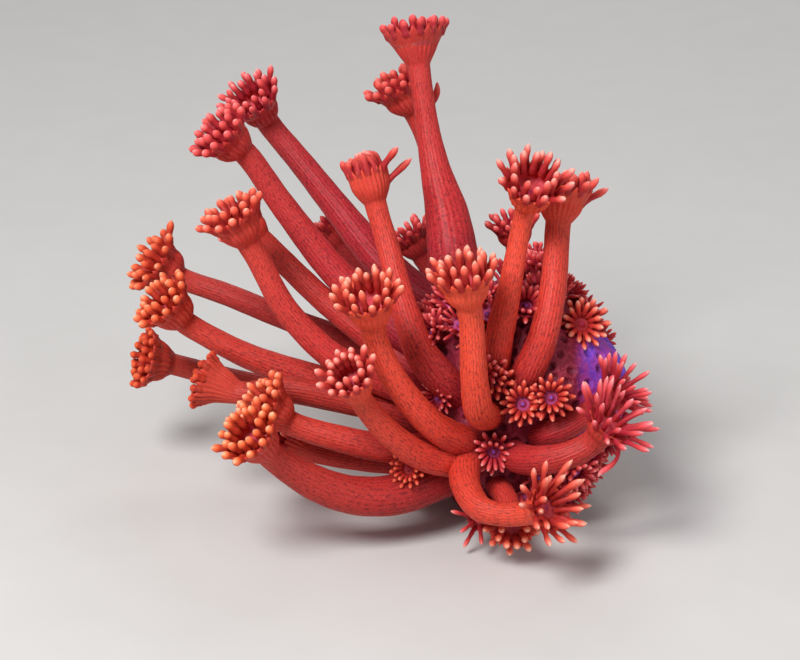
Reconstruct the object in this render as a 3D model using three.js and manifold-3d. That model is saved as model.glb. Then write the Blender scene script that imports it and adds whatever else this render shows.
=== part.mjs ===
// A flowerpot coral colony (Goniopora) as solids: a stony head cut off flat where it grew on rock, and the
// polyps that stand out of it. A polyp is one soft animal: a column, a cup-shaped head and 24 tentacles.
//
// Units are millimetres. +X is to the right as the colony is seen, +Y away from the viewer, +Z up, and the
// origin is the centre of the flat cut.

import * as THREE from "three";
import { mergeVertices } from "three/addons/utils/BufferGeometryUtils.js";
import Module from "manifold-3d";

const wasm = await Module();
wasm.setup();

// The colony is seen from the front and from a little above. Places are given as the eye meets them: right
// and up in the picture plane, and near, the distance from that plane towards the viewer.
const VIEW_ELEVATION = THREE.MathUtils.degToRad(22);
const VIEW_DISTANCE = 700;
const PICTURE_CENTRE = { right: -27, up: 42.5 };

// The stony head: a tall dome that is narrower at its foot, with a shoulder on its right.
const DOME = { radius: 21, middle: 29, below: 34.5, above: 28, power: 2.4 };
const SHOULDER = { x: 9, y: -3, z: 33, radius: 18, half: 17 };
const HEAD_TOP = 57;
const HEAD_LEVELS = [0, 6, 17, 31, 42, 50, 55];
const HEAD_SIDES = 18;
const LOBE_BLEND = 8;

// Soft parts keep this gap to what they touch.
const GAP = 0.35;
const CUT_TOLERANCE = 0.15;
const COLUMN_SIDES = 6;
const RING_SPACING = 22;
const RING_TURN = THREE.MathUtils.degToRad(27);
const SAMPLES_PER_SPAN = 24;
const SHORT_COLUMN_SHARE = 0.72;
const SHORT_ROOT = 2.5;

// A tentacle's solid is a blunt three-sided finger, or a spike on the polyps that stand further back.
const FINGER_RADIUS = 1.15;
const RIM_HALF_WIDTH = 0.95;
const TENTACLE_SCATTER = { angle: 4, length: 0.07 };
const MOUTH_RISE = 0.7;

// Colours of the soft tissue and of the head's skin.
const COLUMN_RED = 0xc8402f;
const SHORT_RED = 0xb83a3c;
const HEAD_PURPLE = 0x8a4a9a;
const SOFT_ROUGHNESS = 0.45;
const HEAD_ROUGHNESS = 0.7;

// How a polyp's head opens: rim is the radius where its tentacles stand, cup its depth, and reach the
// tentacles' length. Outer and inner are the angles from the head's axis at which the two rings of
// tentacles stand. A single crown has the outer ring only.
const CROWNS = {
  bowl: { rim: 4.5, cup: 4.4, reach: 7.0, outer: 42, inner: 16 },
  ball: { rim: 4.5, cup: 4.4, reach: 6.5, outer: 52, inner: 22 },
  trumpet: { rim: 4.1, cup: 5.4, reach: 5.4, outer: 30, inner: 12 },
  low: { rim: 3.4, cup: 3.6, reach: 3.6, outer: 48, inner: 24 },
  closed: { rim: 4.4, cup: 5.0, reach: 7.0, outer: 16, inner: 6 },
  daisy: { rim: 4.4, cup: 4.0, reach: 7.4, outer: 76, inner: 44 },
  small: { rim: 3.6, cup: 3.6, reach: 5.8, outer: 46, inner: 46, single: true },
  aster: { rim: 3.2, cup: 2.6, reach: 4.6, outer: 72, inner: 72, single: true },
  flower: { rim: 2.7, cup: 2.2, reach: 3.9, outer: 72, inner: 72, single: true },
  bud: { rim: 1.9, cup: 1.6, reach: 2.8, outer: 66, inner: 66, single: true },
};

// The long polyps. Each station on a column is [right, up, near, radius]. The first lies inside the stony
// head, and the last is the middle of the polyp's mouth disc.
const LONG_POLYPS = [
  { name: "polyp_front_upper", crown: "bowl", stations: [
    [-6, 14, 20, 3.8], [-12, 15, 33, 3.9], [-19, 19, 40, 3.5], [-27, 28, 45, 3.1],
    [-32.5, 38.5, 49, 2.9], [-34.6, 48, 55, 3.2]] },
  { name: "polyp_front_middle", crown: "ball", stations: [
    [-6, 9, 20, 3.6], [-14, 9.5, 31, 3.7], [-21.5, 11, 37, 3.4], [-30, 17, 44, 3.0],
    [-36.4, 24.6, 50, 2.7], [-38.8, 29.2, 55.5, 2.9]] },
  { name: "polyp_front_centre", crown: "bowl", stations: [
    [-4, 20, 22, 3.8], [-4.5, 18, 35, 3.9], [-6, 21, 45, 3.8], [-7.5, 31, 49, 3.4],
    [-8.9, 43.5, 50, 2.9], [-10.6, 53, 54, 3.1]] },
  { name: "polyp_right_front", crown: "bowl", stations: [
    [-2, 26, 24, 3.0], [-2.4, 35, 34, 3.1], [-1, 44, 38, 3.0], [1, 55, 39.5, 2.6], [3, 67, 40, 2.3],
    [4.4, 72.8, 41.6, 2.6], [5.6, 76.8, 45.4, 3.1]] },
  { name: "polyp_right_back", crown: "bowl", stations: [
    [2, 24, 24, 3.8], [4.5, 31, 34, 3.8], [8.5, 40, 37, 3.5], [11, 51, 36, 3.2], [12, 62, 33, 3.0],
    [12.4, 67.6, 31.5, 3.0], [13.2, 74.2, 31.5, 3.2]] },
  { name: "polyp_front_curled", crown: "daisy", stations: [
    [-7, 11, 20, 3.9], [-10.3, 9.5, 31, 3.9], [-10.7, 4, 38, 3.5], [-7.6, -1.5, 43.5, 3.1],
    [-2, -3.6, 46.5, 2.7], [4.5, -3.4, 49, 2.8], [9.4, -2, 53, 3.1]] },
  { name: "polyp_low_front", crown: "low", plain: true, stations: [
    [-4, 5, 16, 2.8], [-1.5, 2, 27, 2.8], [0.4, -2.2, 32.5, 2.7], [1, -6.6, 38.5, 2.8]] },
  { name: "polyp_right_lower", crown: "daisy", stations: [
    [0, 13, 22, 3.6], [2.5, 10.5, 33, 3.6], [8, 10, 40, 3.4], [14.5, 11, 43, 3.2], [20.6, 14, 44, 3.0],
    [25, 18.8, 47.5, 3.1]] },
  { name: "polyp_right_upper", crown: "daisy", plain: true, stations: [
    [4, 16, 18, 3.0], [9, 16.6, 31, 3.0], [15, 18.5, 33, 2.9], [21.5, 22.6, 31, 2.8],
    [27.2, 27.2, 33.5, 3.0]] },
  { name: "polyp_centre", crown: "closed", stations: [
    [-8, 24, 18, 4.2], [-15, 29, 28, 4.3], [-22, 37.5, 30, 3.9], [-26.5, 50, 28, 3.1],
    [-30, 63.5, 25, 2.7], [-32.8, 73, 24, 2.6], [-34.6, 79.4, 24.5, 3.0]] },
  { name: "polyp_top", crown: "bowl", stations: [
    [-8, 46, 6, 6.4], [-13, 58, 8, 6.4], [-15.2, 71, 7, 5.4], [-18, 82, 6, 3.8], [-20.2, 94, 5, 2.8],
    [-22, 106, 4.5, 2.7], [-22.9, 113.2, 4.5, 3.2]] },
  { name: "polyp_top_behind", crown: "ball", plain: true, stations: [
    [-6, 46, -6, 3.6], [-11, 60, -10, 3.4], [-16.5, 78, -13, 2.9], [-21.5, 93, -13, 2.7],
    [-26, 101, -10.5, 2.9]] },
  { name: "polyp_upper_left", crown: "ball", stations: [
    [-10, 34, 6, 4.4], [-20, 38, 12, 4.3], [-31, 45.5, 11, 4.1], [-44, 58, 10, 3.7],
    [-56.5, 74, 10, 3.1], [-64.6, 85.4, 12, 2.9], [-69.5, 89.8, 15, 3.2]] },
  { name: "polyp_upper_left_back", crown: "bowl", plain: true, stations: [
    [-8, 44, -2, 4.6], [-20, 50, -2, 4.6], [-32, 60, -4, 4.3], [-45, 76, -7, 3.4], [-54, 87, -9, 3.0],
    [-59.4, 93.6, -9, 2.9], [-62.3, 98, -5, 3.1]] },
  { name: "polyp_left_upper", crown: "ball", stations: [
    [-10, 24, 10, 3.8], [-22, 27, 20, 3.9], [-33, 30.5, 23, 3.7], [-44, 36, 24, 3.3],
    [-55, 47, 25, 3.0], [-62.8, 60.6, 27, 2.8], [-67.4, 68.4, 30.2, 3.1]] },
  { name: "polyp_left_upper_behind", crown: "small", plain: true, stations: [
    [-10, 30, 4, 3.6], [-20, 32, 9, 3.6], [-31, 38, 8, 3.4], [-46, 50, 6, 3.0], [-59, 62.5, 4, 2.8],
    [-64.5, 67.5, 4, 2.9]] },
  { name: "polyp_left_high", crown: "ball", stations: [
    [-9, 28, -6, 3.6], [-21, 32, -7, 3.6], [-37, 38.5, -8, 3.3], [-53, 44.5, -9, 3.0],
    [-70, 51.2, -10, 2.8], [-80.6, 55, -10.2, 2.7], [-85.8, 58, -8.4, 3.1]] },
  { name: "polyp_left_middle", crown: "ball", stations: [
    [-10, 22, 2, 4.6], [-21, 24.5, 6, 4.7], [-33, 26.5, 7, 4.5], [-48, 30, 8, 3.9], [-65, 36, 9, 3.1],
    [-78.6, 43, 10, 2.8], [-83.9, 47.6, 13.5, 3.2]] },
  { name: "polyp_left_low_back", crown: "trumpet", plain: true, stations: [
    [-8, 20, -10, 3.6], [-21, 21, -13, 3.6], [-42, 25, -13, 3.2], [-64, 29, -12, 2.8],
    [-82.3, 33.6, -11, 2.7], [-88, 34.8, -9, 2.9]] },
  { name: "polyp_left_low", crown: "trumpet", stations: [
    [-10, 17, 6, 3.8], [-21, 19.5, 15, 3.8], [-32, 23, 18, 3.6], [-44.5, 26, 19, 3.2],
    [-56, 27.8, 19, 3.0], [-66, 26.6, 18.5, 2.8], [-72.6, 28.8, 17, 3.0]] },
  { name: "polyp_front_left_upper", crown: "ball", stations: [
    [-9, 13, 14, 3.7], [-19, 13, 25, 3.7], [-31, 13, 28.5, 3.5], [-44, 15.8, 29, 3.1],
    [-53.4, 18.8, 29, 2.9], [-58.8, 22.4, 31.5, 3.1]] },
  { name: "polyp_front_left_lower", crown: "ball", stations: [
    [-7, 9, 14, 4.8], [-17, 5.5, 25, 4.9], [-27, 1.6, 29, 4.9], [-38, 1, 33, 4.6],
    [-48.5, 4.4, 38, 4.1], [-57.5, 9.8, 44, 3.2], [-62.8, 14.6, 49.5, 3.2]] },
  { name: "polyp_front_left_behind", crown: "small", plain: true, stations: [
    [-9, 10, 6, 3.0], [-20, 9.6, 14, 3.0], [-34, 9.8, 17, 2.8], [-48, 12, 18, 2.7],
    [-55, 15, 20, 2.8]] },
];

// Polyps of middle length, between the long ones and behind them.
const MIDDLE_POLYPS = [
  { name: "polyp_right_open", crown: "aster", stations: [
    [6, 24, 6, 3.0], [13, 35, 11, 3.0], [17.8, 42.6, 16, 2.8], [18.3, 44, 22.5, 2.8]] },
  { name: "polyp_low_left", crown: "flower", stations: [
    [-6, 14, 6, 2.6], [-14, 11, 11, 2.6], [-20.5, 8.5, 14, 2.4], [-25.5, 7, 17.5, 2.4]] },
  { name: "polyp_rear_left", crown: "small", stations: [
    [-8, 34, -4, 3.4], [-20, 42, -14, 3.3], [-33, 55, -20, 3.0], [-43.5, 66.5, -21, 2.9]] },
  { name: "polyp_rear_middle", crown: "small", stations: [
    [-6, 40, -8, 3.3], [-13, 50, -16, 3.2], [-19, 58, -20, 3.0], [-23.5, 64.5, -19, 2.9]] },
  { name: "polyp_rear_top", crown: "small", stations: [
    [2, 42, -8, 3.3], [2.6, 53, -13, 3.2], [2.4, 62, -15, 2.9], [1.6, 67, -13, 2.9]] },
  { name: "polyp_rear_right", crown: "flower", stations: [
    [7, 42, -4, 2.8], [7, 50, -7, 2.8], [7.2, 57, -7, 2.7], [7.5, 61, -5, 2.6]] },
  { name: "polyp_back_left", crown: "small", stations: [
    [-6, 20, -14, 3.6], [-16, 24, -30, 3.4], [-26, 30, -42, 3.0], [-36, 38, -50, 3.0]] },
  { name: "polyp_back_middle", crown: "small", stations: [
    [2, 16, -14, 3.6], [0, 22, -32, 3.4], [-4, 30, -44, 3.0], [-8, 38, -54, 3.0]] },
  { name: "polyp_back_right", crown: "small", stations: [
    [8, 18, -12, 3.4], [10, 24, -27, 3.2], [12, 30, -38, 3.0], [11, 37, -47, 3.0]] },
  { name: "polyp_back_top", crown: "small", stations: [
    [-2, 38, -12, 3.6], [-7, 44, -28, 3.4], [-13, 50, -38, 3.0], [-17, 56, -46, 3.0]] },
];

// Short polyps standing square on the head: azimuth in degrees about the axis, level of the root above the
// cut, and the height of the mouth above the skin.
const SHORT_POLYPS = [
  { name: "short_front_low", crown: "flower", azimuth: -101, level: 25, height: 4.6 },
  { name: "short_front_left", crown: "flower", azimuth: -107, level: 43, height: 4.2 },
  { name: "short_front_middle", crown: "flower", azimuth: -86, level: 35, height: 4.0 },
  { name: "short_front_right", crown: "flower", azimuth: -66, level: 37.5, height: 5.0 },
  { name: "short_front_high", crown: "flower", azimuth: -76, level: 54, height: 4.4 },
  { name: "short_right_low", crown: "flower", azimuth: -48, level: 17, height: 4.2 },
  { name: "short_left_middle", crown: "bud", azimuth: -138, level: 35, height: 3.6 },
  { name: "short_left_high", crown: "flower", azimuth: -152, level: 47, height: 4.4 },
  { name: "short_top", crown: "flower", azimuth: 35, level: 56, height: 5.0 },
  { name: "short_right_back", crown: "flower", azimuth: 12, level: 22, height: 4.4 },
  { name: "short_back_right", crown: "flower", azimuth: 38, level: 40, height: 4.4 },
  { name: "short_back_middle", crown: "flower", azimuth: 92, level: 44, height: 4.4 },
];

// A point in the part's frame from where the eye meets it.
function seenAt(right, up, near) {
  const shrink = 1 - near / VIEW_DISTANCE;
  const across = PICTURE_CENTRE.right + (right - PICTURE_CENTRE.right) * shrink;
  const above = PICTURE_CENTRE.up + (up - PICTURE_CENTRE.up) * shrink;
  const sin = Math.sin(VIEW_ELEVATION);
  const cos = Math.cos(VIEW_ELEVATION);
  return new THREE.Vector3(across, above * sin - near * cos, above * cos + near * sin);
}

// A repeatable value between -1 and 1 for item `index` of row `row`.
function scatter(index, row) {
  const value = Math.sin(index * 12.9898 + row * 78.233) * 43758.5453;
  return 2 * (value - Math.floor(value)) - 1;
}

// Radius of the stony head at a level and an azimuth: the dome and the shoulder blended, with low lumps.
function headRadius(level, azimuth) {
  const half = level < DOME.middle ? DOME.below : DOME.above;
  const rise = Math.min(Math.abs(level - DOME.middle) / half, 1);
  const dome = DOME.radius * (1 - rise ** DOME.power) ** (1 / DOME.power);
  const lift = Math.min(Math.abs(level - SHOULDER.z) / SHOULDER.half, 1);
  const reach = SHOULDER.radius * Math.sqrt(1 - lift * lift);
  const along = SHOULDER.x * Math.cos(azimuth) + SHOULDER.y * Math.sin(azimuth);
  const beside = SHOULDER.x * Math.sin(azimuth) - SHOULDER.y * Math.cos(azimuth);
  const inside = reach * reach - beside * beside;
  const lobe = inside > 0 ? Math.max(along + Math.sqrt(inside), 0) : 0;
  const both = (dome ** LOBE_BLEND + lobe ** LOBE_BLEND) ** (1 / LOBE_BLEND);
  const broad = 0.035 * Math.sin(3 * azimuth + 0.09 * level);
  const small = 0.03 * Math.sin(5 * azimuth - 0.13 * level + 1);
  return both * (1 + broad + small);
}

function headPoint(level, azimuth) {
  const radius = headRadius(level, azimuth);
  return new THREE.Vector3(radius * Math.cos(azimuth), radius * Math.sin(azimuth), level);
}

// Corners and triangles of a closed skin in the making.
class Skin {
  constructor() {
    this.points = [];
    this.corners = [];
  }

  point(position) {
    this.points.push(position.x, position.y, position.z);
    return this.points.length / 3 - 1;
  }

  at(index) {
    return new THREE.Vector3().fromArray(this.points, 3 * index);
  }

  triangle(a, b, c) {
    this.corners.push(a, b, c);
  }

  // A band between two rings that have the same number of points, the first one below.
  band(lower, upper) {
    const count = lower.length;
    for (let i = 0; i < count; i += 1) {
      const j = (i + 1) % count;
      this.triangle(lower[i], lower[j], upper[j]);
      this.triangle(lower[i], upper[j], upper[i]);
    }
  }

  solid() {
    return new wasm.Manifold(new wasm.Mesh({
      numProp: 3,
      vertProperties: new Float32Array(this.points),
      triVerts: new Uint32Array(this.corners),
    }));
  }
}

// The stony head, its side and its top moved outward by `grow`.
function headSolid(grow) {
  const skin = new Skin();
  const rings = HEAD_LEVELS.map((level) => {
    const ring = [];
    for (let i = 0; i < HEAD_SIDES; i += 1) {
      const azimuth = (2 * Math.PI * i) / HEAD_SIDES;
      const radius = headRadius(level, azimuth) + grow;
      const foot = level === 0 ? -grow : grow * (level / HEAD_TOP) ** 2;
      const x = radius * Math.cos(azimuth);
      const y = radius * Math.sin(azimuth);
      ring.push(skin.point(new THREE.Vector3(x, y, level + foot)));
    }
    return ring;
  });
  for (let k = 0; k + 1 < rings.length; k += 1) {
    skin.band(rings[k], rings[k + 1]);
  }
  const bottom = skin.point(new THREE.Vector3(0, 0, -grow));
  const top = skin.point(new THREE.Vector3(0, 0, HEAD_TOP + grow));
  const last = rings[rings.length - 1];
  for (let i = 0; i < HEAD_SIDES; i += 1) {
    const j = (i + 1) % HEAD_SIDES;
    skin.triangle(bottom, rings[0][j], rings[0][i]);
    skin.triangle(top, last[i], last[j]);
  }
  return skin.solid();
}

// The path of a polyp whose stations are given as the eye meets them.
function traceColumn(stations) {
  const knots = stations.map(([right, up, near, radius]) => [...seenAt(right, up, near).toArray(), radius]);
  return tracePath(knots);
}

// A smooth path through knots of position and radius, sampled closely. Each sample has the distance along
// the path, how far the path has turned, and a frame that is carried along without twisting.
function tracePath(knots) {
  const count = knots.length;
  const mirrored = (end, next) => end.map((value, axis) => 2 * value - next[axis]);
  const row = [mirrored(knots[0], knots[1]), ...knots, mirrored(knots[count - 1], knots[count - 2])];
  const samples = [];
  const total = (count - 1) * SAMPLES_PER_SPAN;
  for (let k = 0; k <= total; k += 1) {
    const span = Math.min(Math.floor(k / SAMPLES_PER_SPAN), count - 2);
    const t = k / SAMPLES_PER_SPAN - span;
    const [before, from, to, after] = row.slice(span, span + 4);
    const value = from.map((start, axis) => {
      const slope = (to[axis] - before[axis]) * t;
      const bend = (2 * before[axis] - 5 * start + 4 * to[axis] - after[axis]) * t * t;
      const twist = (3 * start - before[axis] - 3 * to[axis] + after[axis]) * t * t * t;
      return start + 0.5 * (slope + bend + twist);
    });
    samples.push({ centre: new THREE.Vector3(value[0], value[1], value[2]), radius: value[3] });
  }
  samples.forEach((sample, k) => {
    const before = samples[Math.max(k - 1, 0)];
    const after = samples[Math.min(k + 1, total)];
    sample.along = after.centre.clone().sub(before.centre).normalize();
    sample.length = k === 0 ? 0 : before.length + sample.centre.distanceTo(before.centre);
    sample.turned = k === 0 ? 0 : before.turned + sample.along.angleTo(before.along);
    const sideways = k === 0 ? firstNormal(sample.along) : before.normal.clone();
    sample.normal = sideways.addScaledVector(sample.along, -sideways.dot(sample.along)).normalize();
  });
  return samples;
}

function firstNormal(along) {
  const up = new THREE.Vector3(0, 0, 1);
  const other = Math.abs(along.z) > 0.9 ? new THREE.Vector3(1, 0, 0) : up;
  return other.clone().addScaledVector(along, -other.dot(along));
}

// The direction square to the path at an angle about it.
function outward(sample, angle) {
  const side = new THREE.Vector3().crossVectors(sample.along, sample.normal);
  return sample.normal.clone().multiplyScalar(Math.cos(angle)).addScaledVector(side, Math.sin(angle));
}

// The samples where the column gets a ring: more of them where it bends.
function ringSamples(samples, end) {
  const used = samples.filter((sample) => sample.length <= end);
  const cost = (sample) => sample.length / RING_SPACING + sample.turned / RING_TURN;
  const last = used[used.length - 1];
  const count = Math.max(Math.ceil(cost(last)), 1);
  const chosen = [];
  for (let k = 0; k <= count; k += 1) {
    const wanted = (cost(last) * k) / count;
    chosen.push(used.find((sample) => cost(sample) >= wanted - 1e-9) ?? last);
  }
  return chosen;
}

// One tentacle on the triangle `base` of the mouth's rim.
function addTentacle(skin, base, head, crown, index, finger, grow) {
  const corners = base.map((corner) => skin.at(corner));
  const middle = corners[0].clone().add(corners[1]).add(corners[2]).divideScalar(3);
  const fromAxis = middle.clone().sub(head.centre);
  fromAxis.addScaledVector(head.along, -fromAxis.dot(head.along)).normalize();
  const start = (index % 2 === 0 ? crown.outer : crown.inner) + TENTACLE_SCATTER.angle * scatter(index, 1);
  const reach = crown.reach * (1 + TENTACLE_SCATTER.length * scatter(index, 2)) + grow;
  const angle = THREE.MathUtils.degToRad(start);
  const along = head.along.clone().multiplyScalar(Math.cos(angle));
  along.addScaledVector(fromAxis, Math.sin(angle));
  const tip = middle.clone().addScaledVector(along, reach);
  if (!finger) {
    const point = skin.point(tip);
    skin.triangle(base[0], base[1], point);
    skin.triangle(base[1], base[2], point);
    skin.triangle(base[2], base[0], point);
    return;
  }
  const end = corners.map((corner) => {
    const side = corner.sub(middle);
    side.addScaledVector(along, -side.dot(along)).normalize();
    return skin.point(tip.clone().addScaledVector(side, FINGER_RADIUS + grow));
  });
  skin.band(base, end);
  skin.triangle(end[0], end[1], end[2]);
}

// A polyp along the samples of a path: column, cup, mouth disc and tentacles, all moved outward by `grow`.
function polypSolid(samples, crownName, plain, grow) {
  const crown = CROWNS[crownName];
  const skin = new Skin();
  const head = samples[samples.length - 1];
  const rings = ringSamples(samples, head.length - crown.cup).map((sample) => {
    const ring = [];
    for (let i = 0; i < COLUMN_SIDES; i += 1) {
      const side = outward(sample, (2 * Math.PI * i) / COLUMN_SIDES);
      ring.push(skin.point(sample.centre.clone().addScaledVector(side, sample.radius + grow)));
    }
    return ring;
  });
  const root = skin.point(samples[0].centre.clone().addScaledVector(samples[0].along, -grow));
  rings[0].forEach((corner, i) => skin.triangle(root, rings[0][(i + 1) % COLUMN_SIDES], corner));
  for (let k = 0; k + 1 < rings.length; k += 1) {
    skin.band(rings[k], rings[k + 1]);
  }

  const rimSides = 2 * COLUMN_SIDES;
  const outer = [];
  const inner = [];
  for (let j = 0; j < rimSides; j += 1) {
    const out = outward(head, (2 * Math.PI * j) / rimSides);
    const edge = head.centre.clone().addScaledVector(out, crown.rim + RIM_HALF_WIDTH + grow);
    outer.push(skin.point(edge.addScaledVector(head.along, -RIM_HALF_WIDTH)));
    const inside = outward(head, (2 * Math.PI * (j + 0.5)) / rimSides);
    const lip = head.centre.clone().addScaledVector(inside, crown.rim - RIM_HALF_WIDTH);
    inner.push(skin.point(lip.addScaledVector(head.along, grow)));
  }
  const neck = rings[rings.length - 1];
  for (let i = 0; i < COLUMN_SIDES; i += 1) {
    const next = (i + 1) % COLUMN_SIDES;
    skin.triangle(neck[i], neck[next], outer[2 * i + 1]);
    skin.triangle(neck[i], outer[2 * i + 1], outer[2 * i]);
    skin.triangle(neck[next], outer[(2 * i + 2) % rimSides], outer[2 * i + 1]);
  }
  const mouth = skin.point(head.centre.clone().addScaledVector(head.along, MOUTH_RISE + grow));
  for (let j = 0; j < rimSides; j += 1) {
    const next = (j + 1) % rimSides;
    addTentacle(skin, [outer[j], outer[next], inner[j]], head, crown, 2 * j, !plain, grow);
    if (crown.single) {
      skin.triangle(outer[next], inner[next], inner[j]);
    } else {
      addTentacle(skin, [outer[next], inner[next], inner[j]], head, crown, 2 * j + 1, !plain, grow);
    }
    skin.triangle(inner[j], inner[next], mouth);
  }
  return skin.solid();
}

// The path of a short polyp, square to the head's skin.
function shortColumn(polyp) {
  const azimuth = THREE.MathUtils.degToRad(polyp.azimuth);
  const foot = headPoint(polyp.level, azimuth);
  const around = headPoint(polyp.level, azimuth + 0.05).sub(headPoint(polyp.level, azimuth - 0.05));
  const above = headPoint(polyp.level + 0.8, azimuth).sub(headPoint(polyp.level - 0.8, azimuth));
  const square = new THREE.Vector3().crossVectors(around, above).normalize();
  const column = CROWNS[polyp.crown].rim * SHORT_COLUMN_SHARE;
  const inside = foot.clone().addScaledVector(square, -SHORT_ROOT);
  const mouth = foot.clone().addScaledVector(square, polyp.height);
  return tracePath([[...inside.toArray(), column], [...mouth.toArray(), column]]);
}

function largestBody(solid) {
  const bodies = solid.decompose();
  return bodies.reduce((best, body) => (body.volume() > best.volume() ? body : best));
}

function toMesh(name, solid, colour, roughness) {
  const mesh = solid.getMesh();
  const geometry = new THREE.BufferGeometry();
  const positions = new Float32Array((mesh.vertProperties.length / mesh.numProp) * 3);
  for (let i = 0; i < positions.length / 3; i += 1) {
    positions.set(mesh.vertProperties.subarray(i * mesh.numProp, i * mesh.numProp + 3), 3 * i);
  }
  geometry.setAttribute("position", new THREE.BufferAttribute(positions, 3));
  geometry.setIndex(Array.from(mesh.triVerts));
  const merged = mergeVertices(geometry, 1e-5);
  merged.computeVertexNormals();
  const material = new THREE.MeshStandardMaterial({ color: colour, roughness, metalness: 0 });
  const result = new THREE.Mesh(merged, material);
  result.name = name;
  return result;
}

const colony = new THREE.Group();
colony.name = "flowerpot_coral";
colony.add(toMesh("coral_head", headSolid(0), HEAD_PURPLE, HEAD_ROUGHNESS));

// Every polyp is cut off at the head's skin, and where two would touch the later one gives way.
const grownHead = headSolid(GAP);
const long = LONG_POLYPS.map((polyp) => ({ ...polyp, samples: traceColumn(polyp.stations) }));
const middle = MIDDLE_POLYPS.map((polyp) => (
  { ...polyp, samples: traceColumn(polyp.stations), plain: true }
));
const short = SHORT_POLYPS.map((polyp) => (
  { ...polyp, samples: shortColumn(polyp), plain: true, short: true }
));
const placed = [];
[...long, ...middle, ...short].forEach((polyp) => {
  let body = largestBody(polypSolid(polyp.samples, polyp.crown, polyp.plain, 0).subtract(grownHead));
  placed.forEach((other) => {
    if (body.intersect(other.grown).volume() > 0) {
      body = largestBody(body.subtract(other.grown));
    }
  });
  placed.push({ name: polyp.name, grown: polypSolid(polyp.samples, polyp.crown, polyp.plain, GAP) });
  const colour = polyp.short ? SHORT_RED : COLUMN_RED;
  colony.add(toMesh(polyp.name, largestBody(body.simplify(CUT_TOLERANCE)), colour, SOFT_ROUGHNESS));
});

export default colony;
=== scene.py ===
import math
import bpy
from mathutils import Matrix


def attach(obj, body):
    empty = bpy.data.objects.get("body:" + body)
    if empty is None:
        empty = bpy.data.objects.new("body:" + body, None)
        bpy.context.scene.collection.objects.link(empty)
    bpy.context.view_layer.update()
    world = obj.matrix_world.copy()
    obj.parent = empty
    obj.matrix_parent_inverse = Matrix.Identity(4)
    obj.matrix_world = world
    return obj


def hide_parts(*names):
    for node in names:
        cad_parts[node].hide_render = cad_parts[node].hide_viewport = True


bl_info = {
    "name": "Flowerpot coral",
    "version": (1, 0, 0),
    "blender": (4, 5, 0),
    "location": "View3D > Sidebar > Coral",
    "description": "A flowerpot coral colony: pitted head, long ribbed polyps with crowns of tentacles, and a stage",
    "category": "Add Mesh",
}

import bpy
import mathutils
import numpy as np

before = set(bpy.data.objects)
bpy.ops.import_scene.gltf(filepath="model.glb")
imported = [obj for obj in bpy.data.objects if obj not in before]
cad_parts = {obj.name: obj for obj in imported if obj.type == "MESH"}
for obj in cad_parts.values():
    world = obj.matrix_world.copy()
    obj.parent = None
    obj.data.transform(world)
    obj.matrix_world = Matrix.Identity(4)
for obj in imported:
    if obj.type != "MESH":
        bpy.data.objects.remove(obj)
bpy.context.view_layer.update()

MM = 0.001

# The colony is seen from the front and a little above. Stations are given as the eye meets them: right and up in
# the picture plane, and near, the distance from that plane towards the viewer, all in millimetres.
VIEW_ELEVATION = math.radians(22)
VIEW_DISTANCE = 700.0
PICTURE_CENTRE = (-27.0, 42.5)
PICTURE_WIDTH = 200.0
SENSOR_WIDTH = 36.0
RIGHT = np.array([1.0, 0.0, 0.0])
UP = np.array([0.0, math.sin(VIEW_ELEVATION), math.cos(VIEW_ELEVATION)])
NEAR = np.array([0.0, -math.cos(VIEW_ELEVATION), math.sin(VIEW_ELEVATION)])

# The stony head: a tall dome that is narrower at its foot, with a shoulder on its right.
DOME = {"radius": 21.0, "middle": 29.0, "below": 34.5, "above": 28.0, "power": 2.4}
SHOULDER = {"x": 9.0, "y": -3.0, "z": 33.0, "radius": 18.0, "half": 17.0}
HEAD_TOP = 57.0
LOBE_BLEND = 8

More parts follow.
